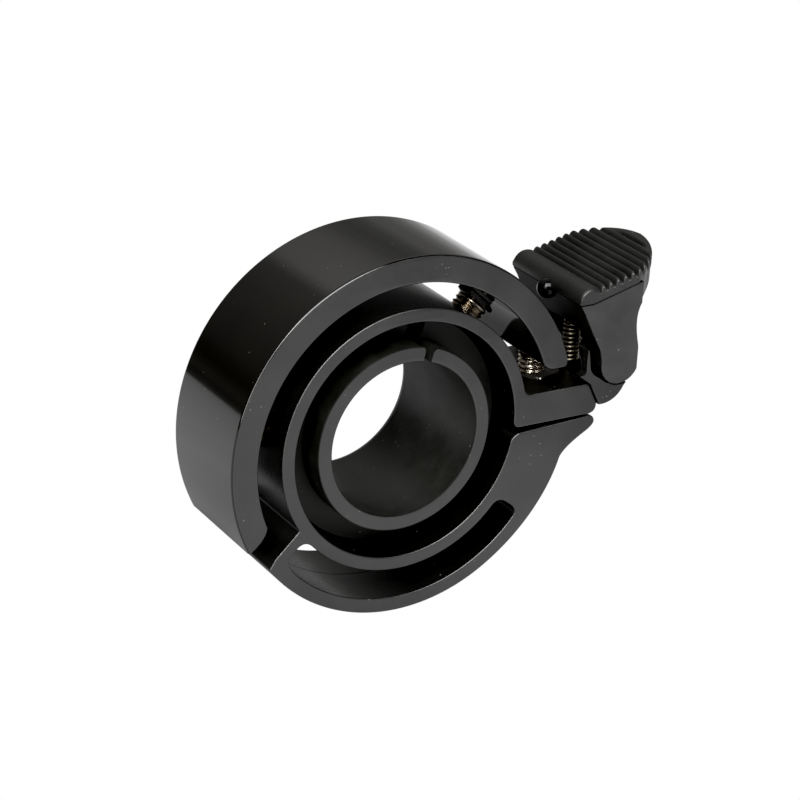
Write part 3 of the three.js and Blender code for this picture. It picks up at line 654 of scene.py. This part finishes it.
BAR_RADIUS = 11.1
TUBE_RADIUS = 13.25
TUBE_RIM = 0.16
TUBE_SLOT = 1.3
TUBE_SLOT_AT = 75.2  # degrees
SLOT_CORNER = 0.95  # the round on the slot's outer corners
FLANGE_RADIUS = BORE_RADIUS - 0.3
FLANGE_RIM = 0.25
FLANGE_FRONT = -3.25
FLANGE_BACK = BAND_HALF
FLANGE_SLOT = 2.65
FLANGE_SLOT_AT = 76.4  # degrees
sleeve_front = sleeve_low.y / MM
sleeve_back = sleeve_high.y / MM


def split_ring(bm, profile, middle, width_of, steps=220):
    """Turns a profile about Y, leaving a parallel-sided slot. width_of(r) is the slot's width."""
    rows = []
    for i in range(steps + 1):
        t = i / steps
        row = []
        for r, y in profile:
            half = math.degrees(math.asin(width_of(r) / 2 / r))
            x, z = polar(r, middle + half + (360 - 2 * half) * t)
            row.append((x * MM, y * MM, z * MM))
        rows.append(row)
    add_grid(bm, rows)


def tube_slot(r):
    """The width of a narrow slot whose outer corners are rounded."""
    depth = TUBE_RADIUS - r
    if depth >= SLOT_CORNER:
        return TUBE_SLOT
    reach = math.sqrt(max(0, SLOT_CORNER**2 - (SLOT_CORNER - depth) ** 2))
    return TUBE_SLOT + 2 * (SLOT_CORNER - reach)


def across(start, end, y, count=9):
    """Points from one radius to another, closer together near the outside."""
    return [(start + (end - start) * math.sin(math.pi / 2 * i / count), y) for i in range(count + 1)]


soft = TUBE_RIM * 0.3
tube = across(BAR_RADIUS + TUBE_RIM, TUBE_RADIUS - TUBE_RIM, sleeve_front)
tube += [(TUBE_RADIUS - soft, sleeve_front + soft), (TUBE_RADIUS, sleeve_front + TUBE_RIM)]
tube += [(TUBE_RADIUS, sleeve_back - TUBE_RIM), (TUBE_RADIUS - soft, sleeve_back - soft)]
tube += across(BAR_RADIUS + 0.55, TUBE_RADIUS - TUBE_RIM, sleeve_back)[::-1]
tube += [(BAR_RADIUS + 0.4, sleeve_back - 0.12), (BAR_RADIUS, sleeve_back - 1.2)]
tube += [(BAR_RADIUS, sleeve_front + TUBE_RIM), (BAR_RADIUS + soft, sleeve_front + soft)]
flange = [
    (TUBE_RADIUS - 0.3, FLANGE_FRONT),
    (FLANGE_RADIUS - FLANGE_RIM, FLANGE_FRONT),
    (FLANGE_RADIUS, FLANGE_FRONT + FLANGE_RIM),
    (FLANGE_RADIUS, FLANGE_BACK - FLANGE_RIM),
    (FLANGE_RADIUS - FLANGE_RIM, FLANGE_BACK),
    (TUBE_RADIUS - 0.3, FLANGE_BACK),
]
bm = bmesh.new()
split_ring(bm, tube, TUBE_SLOT_AT, tube_slot)
split_ring(bm, flange, FLANGE_SLOT_AT, lambda r: FLANGE_SLOT)
sleeve = weighted(finish_mesh("bar_sleeve", bm, "bell", SLEEVE))
# Only the tube's front end has the satin finish.
face_ends(sleeve, FACE)
for poly in sleeve.data.polygons:
    if poly.center.y > (sleeve_front + 1) * MM:
        poly.material_index = 0
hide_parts("handlebar_sleeve")

# ------------------------------------------------------------------ gong mounting screws

SCREW_RADIUS = 2.4
NECK_RADIUS = 1.2
SCREW_START = BORE_RADIUS + 0.2
SCREW_NECK = 20.7 - SCREW_START  # the thread ends here, under the nut
SCREW_TIP = GONG_INNER + 2.3 - SCREW_START
COLLAR_FLATS = 5.0
COLLAR_LOW = 20.8
HOLE_RADIUS = 1.35  # of the nut and the washer
WASHER_TALL = 0.55
AIR = 0.1  # between the collar, the washer and the gong


def mounting(side, angle):
    """A radial screw with its nut and its soft washer."""
    out = Vector((math.cos(math.radians(angle)), 0, math.sin(math.radians(angle))))
    profile = [(AXIS, 0.9), (0.9, 0.9), (1.0, 0), (3.1, 0), (3.3, 0.2), (SCREW_RADIUS, 1.3)]
    profile += [(SCREW_RADIUS, h) for h in heights(1.3, SCREW_NECK - 0.2, 0.045)]
    profile += [(SCREW_RADIUS - 0.2, SCREW_NECK), (NECK_RADIUS, SCREW_NECK)]
    profile += [(NECK_RADIUS, SCREW_TIP), (AXIS, SCREW_TIP)]
    groove = thread(0.72, 0.36, 1.3, SCREW_NECK - 0.1)
    origin = out * SCREW_START * MM
    screw = spun(f"mount_screw_{side}", profile, origin, out, "bell", THREAD, 72, groove, smooth=60)
    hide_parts(f"gong_screw_{side}")

    low, top = COLLAR_LOW, GONG_INNER - AIR - WASHER_TALL - AIR
    corner = corners(COLLAR_FLATS)
    profile = [(HOLE_RADIUS, low), (2.4, low), (corner, low + 0.15)]
    profile += [(corner, top - 0.15), (2.4, top), (HOLE_RADIUS, top)]
    shape = hexagon(COLLAR_FLATS)
    collar = spun(f"mount_nut_{side}", profile, (0, 0, 0), out, "bell", DARK_STEEL_AND_SHADE, 72, shape)
    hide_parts(f"gong_collar_{side}")

    low = GONG_INNER - AIR - WASHER_TALL
    top = low + WASHER_TALL
    profile = [(HOLE_RADIUS, low), (2.1, low), (2.2, low + 0.1)]
    profile += [(2.2, low + 0.45), (2.1, top), (HOLE_RADIUS, top)]
    washer = spun(f"mount_washer_{side}", profile, (0, 0, 0), out, "bell", SOFT, 48)
    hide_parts(f"gong_grommet_{side}")


mounting("upper", 46)
mounting("left", 175)

# ------------------------------------------------------------------ clamp bolt and nut

BOLT_RADIUS = 2.0
HEAD_HEIGHT = 3.6
length = bolt_high.z / MM - bolt_low.z / MM
profile = [(AXIS, 2.0), (1.73, 2.0), (1.73, 0), (3.1, 0), (3.5, 0.4), (3.5, HEAD_HEIGHT - 0.15)]
profile += [(3.35, HEAD_HEIGHT), (BOLT_RADIUS, HEAD_HEIGHT)]
profile += [(BOLT_RADIUS, h) for h in heights(HEAD_HEIGHT + 0.1, length - 0.25, 0.06)]
profile += [(1.6, length), (AXIS, length)]
groove = thread(0.7, 0.32, length - 5.5, length - 0.2)
bolt_foot = (bolt_x, 0, bolt_low.z)
bolt = spun("lug_bolt", profile, bolt_foot, (0, 0, 1), "bell", THREAD, 72, groove, smooth=60)
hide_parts("clamp_bolt")

NUT_BORE = 2.15
NUT_CHAMFER = 2.75  # outer radius of the cone that leads into the thread
tall = (nut_high.z - nut_low.z) / MM
corner = corners(NUT_FLATS)
profile = [(NUT_BORE, 0), (3.45, 0), (corner, 0.3), (corner, tall - 0.22), (3.82, tall)]
profile += [(NUT_CHAMFER, tall), (NUT_BORE, tall - 0.5)]
nut_foot = (bolt_x, 0, nut_low.z)
nut = spun("lug_nut", profile, nut_foot, (0, 0, 1), "bell", STEEL, 120, hexagon(NUT_FLATS), smooth=20)
# A turned hexagon has its corners at 30 degrees. This one is turned to fit the pocket.
there = Matrix.Translation((bolt_x, 0, 0))
back_again = Matrix.Translation((-bolt_x, 0, 0))
nut.data.transform(there @ Matrix.Rotation(math.radians(NUT_TURN - 30), 4, "Z") @ back_again)
nut.data.materials.append(DARK_STEEL_AND_SHADE)
# Dark steel on the flat top and inside the thread is painted shade; the bevel and the sides keep the
# bright steel.
for poly in nut.data.polygons:
    from_axis = math.hypot(poly.center.x - bolt_x, poly.center.y) / MM
    if abs(poly.normal.z) > 0.95 or from_axis < NUT_CHAMFER - 0.05:
        poly.material_index = 1
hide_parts("clamp_nut")

# ------------------------------------------------------------------ hinge base

SEAT_RADIUS = 3.36
KNUCKLE_RADIUS = 3.24
CRADLE_CENTRE = (31, 4)
CRADLE_RADIUS = 3.9


def cradle(lip):
    """One wall of the base. With a lip, it also has the thin upright strip beside the lever."""
    # the round outside, then the seat that the knuckle turns in
    points = arc(CRADLE_CENTRE, CRADLE_RADIUS, -97.1, -26, 4)
    points += arc(PIVOT, SEAT_RADIUS, -69, -122, 4)
    if lip:
        points += quad((31.4, 3.3), (30.4, 4.1), (29.5, 4.66), 5)
        points += quad((29.5, 4.66), (28.8, 5.2), (28.68, 6.1), 6)[1:]
        points += [(28.5, 7.3), (28.32, 8.5), (28.25, 8.6), (28.12, 8.5), (28.05, 7.0)]
        points += quad((28.08, 5.7), (28.12, 5.15), (27.8, 5.02), 5)
        points += [(27.08, 4.86), (28.96, 3.43)]
    else:
        points += [(30.5, 4.0), (29.3, 4.1), (28.9, 3.55)]
    # the slanted face against the lug
    points += [(29.11, 3.06), (30.515, 0.31)]
    return tidy_loop(points)


def cradle_floor():
    points = arc(CRADLE_CENTRE, CRADLE_RADIUS, -92, -30, 4)
    points += [(34.3, 2.45), (32.4, 3.0), (29.6, 3.0), (29.45, 3.19), (30.8, 0.45), (30.8, 0.18)]
    return tidy_loop(points)


# Each side has an outer wall, an inner wall and an ear that holds the hinge pin.
ear = tidy_loop([(PIVOT[0] - 1, 2.0), (PIVOT[0] + 0.9, 2.0)] + arc(PIVOT, 2.5, -40, 205, 5))
bm = slab([cradle_floor()], -LEVER_HALF + 0.5, LEVER_HALF - 0.5, bevel=0.08, steps=2)
for side in (-1, 1):
    walls = (
        (cradle(True), LEVER_HALF - 1.4, LEVER_HALF, 0.06),
        (cradle(False), LEVER_HALF - 3.6, LEVER_HALF - 1.3, 0.05),
        (ear, 1.9, 4.5, 0.2),
    )
    for outline, inside, outside, rim in walls:
        low, high = sorted((side * inside, side * outside))
        add_slab(bm, [outline], low, high, bevel=rim, steps=2)
base = weighted(finish_mesh("lever_cradle", bm, "bell", LEVER))
face_ends(base, FACE, 0.7)
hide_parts("hinge_base")

# ------------------------------------------------------------------ lever body

HEAD_TIP = 41.7
HEAD_RADIUS = 9.3
HEAD_CENTRE = HEAD_TIP - HEAD_RADIUS
HEAD_SHOULDER = 36.45  # from here to the tip the head's sides follow its round plan
BEYOND = 20  # an X that the whole lever is to the right of


def lever_outline():
    # the knuckle, then the thumb side
    points = arc(PIVOT, KNUCKLE_RADIUS, 180, 368, 3)
    points += cubic(polar(KNUCKLE_RADIUS, 8, PIVOT), (36.6, 8.4), (35.4, 11.3), (36.4, 13.9), 18)[1:]
    points += quad((36.4, 13.9), (37.2, 15.6), (41.6, 17.25), 14)[1:-1]
    # the seam under the pad, then the side that faces the gong
    points += [(41.2, 18.76), (28.4, 15.3), (26.33, 15.3)]
    points += quad((27.05, 14.1), (28.6, 10.9), (29.95, 8.5), 14)
    points += quad((29.95, 8.5), (30.4, 7.3), (PIVOT[0] - KNUCKLE_RADIUS, PIVOT[1] + 0.35), 6)[1:]
    return tidy_loop(points, 0.03)


def head_plan(shrink):
    """The head seen from above: straight sides and an arc round the thumb end."""
    half, radius = LEVER_HALF - shrink, HEAD_RADIUS - shrink
    swing = math.degrees(math.asin(half / radius))
    outline = [(BEYOND, -half)] + arc((HEAD_CENTRE, 0), radius, -swing, swing, 2) + [(BEYOND, half)]
    return fillet(tidy_loop(outline), 0.8, 20)


def widened(outline, half):
    """The same plan, but wider than the lever up to the shoulder."""
    kept = [(x, y) for x, y in outline if x > HEAD_SHOULDER]
    return [(BEYOND, -half), (HEAD_SHOULDER, -half)] + kept + [(HEAD_SHOULDER, half), (BEYOND, half)]


# The inside is hollow, and open below for the spring and the pin.
pocket = [(BEYOND, -1), (45, -1), (45, 9.6), (44, 10.5), (21, 10.5), (BEYOND, 9.6)]
lever = loose(slab([lever_outline()], -LEVER_HALF, LEVER_HALF, bevel=0.2, steps=3))
boolean(lever, loose(slab([pocket], -4.8, 4.8, bevel=0.3, steps=2)), "DIFFERENCE")
boolean(lever, column(widened(head_plan(0.1), LEVER_HALF + 1), -10, 40), "INTERSECT")
lever = weighted(finish_mesh("lever_arm", taken(lever), "lever", LEVER, smooth=28))
face_ends(lever, LEVER_FACE, 0.8)
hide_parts("lever_body")

# ------------------------------------------------------------------ thumb pad

RIB_START = 29.35
RIB_END = 39.5
RIB_PITCH = 1.2
RIB_HALF = 0.35  # as a part of the pitch
RIB_HEIGHT = 0.8
RIB_RISE = 0.22  # from the pad's mean top to the ribs' tops
RIM_WIDTH = 0.8  # the smooth border round the thumb end
RIM_RISE = 0.12  # from the pad's mean top to the border
RIBS_Z = 17.5  # the pad's mean top where the ribs start
RIBS_SLOPE = 0.262
NOSE = (28.1, 15.85)
NOSE_RADIUS = 1.84
NOSE_DROP = 0.30  # from the top of the nose to the first rib
SEAM_Z = 15.38
SEAM_BEND = 28.4  # the flat under the nose ends here and the slope under the pad begins
SEAM_SLOPE = (18.87 - 15.3) / (41.6 - SEAM_BEND)


def plan_half(x):
    """Half the width of the head at x: straight sides, then an arc round the thumb end."""
    if x <= HEAD_CENTRE:
        return LEVER_HALF
    return min(LEVER_HALF, math.sqrt(max(0.0, HEAD_RADIUS**2 - (x - HEAD_CENTRE) ** 2)))


def pad_bottom(x):
    low = SEAM_Z + max(0, x - SEAM_BEND) * SEAM_SLOPE
    if x < NOSE[0] - NOSE_RADIUS * 0.95:
        reach = math.sqrt(max(0, NOSE_RADIUS**2 - (NOSE[0] - x) ** 2))
        return max(low, NOSE[1] - reach)
    return low


def pad_top(x, y):
    """Rounded nose, then a slope up to the thumb end, with ribs across inside a smooth border."""
    if x < NOSE[0]:
        return NOSE[1] + math.sqrt(max(0, NOSE_RADIUS**2 - (NOSE[0] - x) ** 2))
    if x < RIB_START:
        t = (x - NOSE[0]) / (RIB_START - NOSE[0])
        return NOSE[1] + NOSE_RADIUS - NOSE_DROP * t * t
    mean = RIBS_Z + RIBS_SLOPE * (x - RIB_START)
    phase = (x - RIB_START) / RIB_PITCH
    from_middle = abs(phase % 1 - 0.5) / RIB_HALF
    rib = RIB_HEIGHT * (math.sqrt(max(0, 1 - from_middle**2)) - 1) + RIB_RISE
    round_end = x > HEAD_TIP - 4.5
    from_edge = HEAD_RADIUS - math.hypot(x - HEAD_CENTRE, y) if round_end else HEAD_RADIUS
    inside = min(1, max(0, (from_edge - RIM_WIDTH) / 0.4, (RIB_END - x) / 0.5))
    return mean + rib * inside + RIM_RISE * (1 - inside)


def pad_section(x):
    """One slice across the pad: flat bottom, round top corners."""
    half = max(0.05, plan_half(x))
    low = pad_bottom(x)
    r = min(0.6, half * 0.9, (pad_top(x, half) - low) * 0.48)
    reach = half - r
    edge = pad_top(x, half - 0.3)
    points = [polar(r, 90 * i / 5, (reach, edge - r)) for i in range(6)]
    for i in range(1, 24):
        y = reach * (1 - i / 12)
        near = min(1, (reach - abs(y)) / 0.5)
        points.append((y, edge + (pad_top(x, y) - edge) * near))
    points += [polar(r, 90 + 90 * i / 5, (-reach, edge - r)) for i in range(6)]
    r2 = min(0.12, r)
    for y, start in ((-half + r2, 180), (half - r2, 270)):
        points += [polar(r2, start + 90 * i / 2, (y, low + r2)) for i in range(3)]
    return [(x * MM, y * MM, z * MM) for y, z in points]


# The slices stand closer together where the nose and the thumb end turn.
nose_angles = (4, 8, 13, 19, 26, 34, 43, 53, 64, 76, 89)
stations = [NOSE[0] - NOSE_RADIUS * math.cos(math.radians(a)) for a in nose_angles]
stations += [28.4, 28.7, 29.0, 29.2, 29.3, 29.4, 29.5, 29.6]
stations += heights(29.7, HEAD_TIP - 0.8, 0.05)
stations += [HEAD_TIP - d for d in (0.65, 0.5, 0.35, 0.25, 0.16, 0.09, 0.04, 0.01)]
pad = finish_mesh("pad", grid([pad_section(x) for x in stations]), "lever", PAD, smooth=50)
face_ends(pad, FACE, 0.8)
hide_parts("thumb_pad")

# ------------------------------------------------------------------ striker

DOME_RADIUS = 1.5
DOME_START = -52  # degrees, where the dome meets its stem. It ends at 90, its top.
DOME_STEPS = 18
knob = Vector((26.5, 0, 15.05))
inward = Vector((-knob.x, 0, -knob.z)).normalized()
profile = [(AXIS, -3.2), (0.9, -3.2), (0.9, -1.15)]
for i in range(DOME_STEPS + 1):
    a = math.radians(DOME_START + (90 - DOME_START) * i / DOME_STEPS)
    profile.append((max(AXIS, DOME_RADIUS * math.cos(a)), DOME_RADIUS * math.sin(a)))
dome = spun("knocker", profile, knob * MM, inward, "lever", DOME)
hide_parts("striker")

# ------------------------------------------------------------------ return spring

WIRE = 0.24
COIL = 1.0
PITCH = 0.66
CLOSED_PITCH = 0.5  # of the first and the last turn
PER_TURN = 30  # rings of points in a turn
AROUND_WIRE = 12  # points in a ring
spring_x = (spring_low.x + spring_high.x) / 2 / MM
spring_foot, spring_top = spring_low.z / MM + WIRE, spring_high.z / MM - WIRE
open_length = spring_top - spring_foot - 2 * CLOSED_PITCH
turns = round(open_length / PITCH) + 2


def coil_height(turn):
    if turn < 1:
        return spring_foot + CLOSED_PITCH * turn
    if turn > turns - 1:
        return spring_top - CLOSED_PITCH * (turns - turn)
    return spring_foot + CLOSED_PITCH + open_length * (turn - 1) / (turns - 2)


def wire_ring(turn):
    """The wire's round section at a number of turns from the foot."""
    a = 2 * math.pi * turn
    outwards = Vector((math.cos(a), math.sin(a), 0))
    along = Vector((-math.sin(a), math.cos(a), PITCH / (2 * math.pi * COIL))).normalized()
    across_wire = along.cross(outwards)
    middle = Vector((spring_x, 0, coil_height(turn))) + outwards * COIL
    angles = [2 * math.pi * k / AROUND_WIRE for k in range(AROUND_WIRE)]
    return [(middle + (outwards * math.cos(t) + across_wire * math.sin(t)) * WIRE) * MM for t in angles]


rings = [wire_ring(i / PER_TURN) for i in range(turns * PER_TURN + 1)]
spring = finish_mesh("coil_spring", grid(rings), "bell", SPRING, smooth=60)
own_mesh(spring)
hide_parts("return_spring")

# A dark post inside the coil, put there as painted shade for the coil's inside.
profile = [(AXIS, 0), (0.66, 0), (0.66, 5.3), (0.5, 5.5), (AXIS, 5.5)]
post_foot = (spring_x * MM, 0, spring_low.z - 0.1 * MM)
shade_post = spun("spring_shade_post", profile, post_foot, (0, 0, 1), "bell", LEVER, 32)

# ------------------------------------------------------------------ CAD pieces that stay

for name in ("hinge_pin", "base_screw_front", "base_screw_back", "clamp_washer"):
    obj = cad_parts[name]
    obj.data.materials.clear()
    obj.data.materials.append(STEEL)

# ------------------------------------------------------------------ floor

FLOOR_HALF = 3.0
floor_z = band_low.z - 0.0002
bm = bmesh.new()
plan = [(x * FLOOR_HALF, y * FLOOR_HALF) for x, y in ((-1, -1), (1, -1), (1, 1), (-1, 1))]
bm.faces.new([bm.verts.new((x, y, floor_z)) for x, y in plan])
floor = mesh_object("floor", bm)
pale = bpy.data.materials.new("pale floor")
pale.use_nodes = True
tree = pale.node_tree
tree.nodes.remove(tree.nodes["Principled BSDF"])

# The paper glows. It is darker close under the bell, a painted shadow, brightest a little way out,
# and weak far away, where it falls off sooner on the left. Distances are in metres.
coordinates = node(tree, "ShaderNodeTexCoord")
axes = node(tree, "ShaderNodeSeparateXYZ")
wire(tree, coordinates, "Object", axes, 0)
outwards = distance_from(tree, coordinates, (-0.010, 0.020, floor_z))
close_by = [
    (0.0, 0.08), (0.008, 0.2), (0.016, 0.5), (0.030, 0.74), (0.049, 1.0), (0.09, 1.1), (0.14, 1.08),
]
left_paper = curve_of(tree, outwards, "Value", close_by + [
    (0.26, 1.0), (0.40, 0.86), (0.455, 0.6), (0.51, 0.1), (1.0, 0.06),
])
right_paper = curve_of(tree, outwards, "Value", close_by + [
    (0.2, 0.95), (0.3, 0.8), (0.45, 0.74), (0.7, 0.55), (1.0, 0.46),
])
to_right = scaled(tree, axes, "X", -0.1, 0.1, "SMOOTHSTEP")
both_sides = blended(tree, to_right, left_paper, right_paper)

# In front of the bell, a band along the lever's side is in shade. Behind it, a round patch is.
lever_shade = curve_of(tree, axes, "X", [
    (0.0, 0.94), (0.02, 1.06), (0.036, 1.08), (0.045, 0.74), (0.057, 0.42), (0.067, 0.28),
    (0.077, 0.5), (0.089, 0.64), (0.12, 0.7),
])
to_back = scaled(tree, axes, "Y", -0.02, 0.02)
front_shade = blended(tree, to_back, lever_shade, 1)
from_patch = distance_from(tree, coordinates, (0.034, 0.045, floor_z))
back_shade = curve_of(tree, from_patch, "Value", [
    (0.0, 0.22), (0.016, 0.25), (0.03, 0.5), (0.048, 0.9), (0.06, 1.0),
])
glow = product(tree, product(tree, both_sides, front_shade), back_shade)
paper = node(tree, "ShaderNodeEmission")
wire(tree, glow, 0, paper, "Strength")
white_to_camera(tree, paper, tree.nodes["Material Output"])
floor.data.materials.append(pale)

# ------------------------------------------------------------------ lights and room


def softbox(name, azimuth, elevation, distance, size_x, size_y, radiance):
    """A soft light aimed at the bell. Azimuth 0 is behind it, and 90 to its right."""
    a, e = math.radians(azimuth), math.radians(elevation)
    place = Vector((math.sin(a) * math.cos(e), math.cos(a) * math.cos(e), math.sin(e))) * distance
    light = bpy.data.lights.new(name, "AREA")
    light.shape = "RECTANGLE"
    light.size, light.size_y = size_x, size_y
    light.energy = radiance * math.pi * size_x * size_y
    obj = new_object(name, light)
    obj.location = place
    obj.rotation_mode = "QUATERNION"
    obj.rotation_quaternion = (-place).to_track_quat("-Z", "Y")


softbox("top light", -157, 52, distance=0.9, size_x=0.9, size_y=0.55, radiance=13)
softbox("left light", -128, 25, distance=0.8, size_x=0.22, size_y=0.8, radiance=12)

# The room: brightest high up, darker on the left, and dark behind the camera.
world = bpy.data.worlds.new("studio")
bpy.context.scene.world = world
world.use_nodes = True
tree = world.node_tree
coordinates = node(tree, "ShaderNodeTexCoord")
axes = node(tree, "ShaderNodeSeparateXYZ")
wire(tree, coordinates, "Generated", axes, 0)
right_side = curve_of(tree, axes, "Z", [
    (-0.1, 0.44), (0.0, 0.42), (0.03, 0.36), (0.08, 0.29), (0.165, 0.25), (0.25, 0.28), (0.32, 0.21),
    (0.393, 0.2), (0.456, 0.27), (0.51, 0.42), (0.555, 0.54), (0.61, 0.8), (0.8, 0.75), (1.0, 0.6),
])
left_side = curve_of(tree, axes, "Z", [
    (-0.1, 0.08), (0.03, 0.08), (0.05, 0.06), (0.09, 0.04), (0.14, 0.05), (0.218, 0.09),
    (0.37, 0.14), (0.4925, 0.19), (0.577, 0.26), (0.62, 0.36), (0.8, 0.45), (1.0, 0.5),
])
to_right = scaled(tree, axes, "X", -0.13, 0.0, "SMOOTHSTEP")
to_back = scaled(tree, axes, "Y", -0.2, 0.3)
room = product(tree, blended(tree, to_right, left_side, right_side), to_back)
background = tree.nodes["Background"]
background.inputs["Color"].default_value = (1, 0.99, 0.96, 1)
wire(tree, room, 0, background, "Strength")
white_to_camera(tree, background, tree.nodes["World Output"])

# ------------------------------------------------------------------ camera

CAMERA_AZIMUTH, CAMERA_ELEVATION, CAMERA_ROLL = -31.39, 23.17, 2.82
CAMERA_AIM = Vector((0.04, -5.74, 5.05)) * MM
CAMERA_DISTANCE = 346.6 * MM
a, e = math.radians(CAMERA_AZIMUTH), math.radians(CAMERA_ELEVATION)
back = Vector((math.sin(a) * math.cos(e), -math.cos(a) * math.cos(e), math.sin(e)))
level = Vector((math.cos(a), math.sin(a), 0))
upright = back.cross(level)
roll = math.radians(CAMERA_ROLL)
right = level * math.cos(roll) + upright * math.sin(roll)
up = upright * math.cos(roll) - level * math.sin(roll)
camera_data = bpy.data.cameras.new("camera")
camera_data.lens = 116.95
camera_data.sensor_width = 36
camera_data.clip_start = 0.01
camera = new_object("camera", camera_data)
turn = Matrix((right, up, back)).transposed().to_4x4()
camera.matrix_world = Matrix.Translation(CAMERA_AIM + back * CAMERA_DISTANCE) @ turn
bpy.context.scene.camera = camera

# The darkest tones are pulled down to black, as in the photograph.
looks = bpy.context.scene.view_settings
looks.view_transform = "Standard"
looks.use_curve_mapping = True
looks.curve_mapping.black_level = (0.004, 0.004, 0.004)
looks.curve_mapping.update()
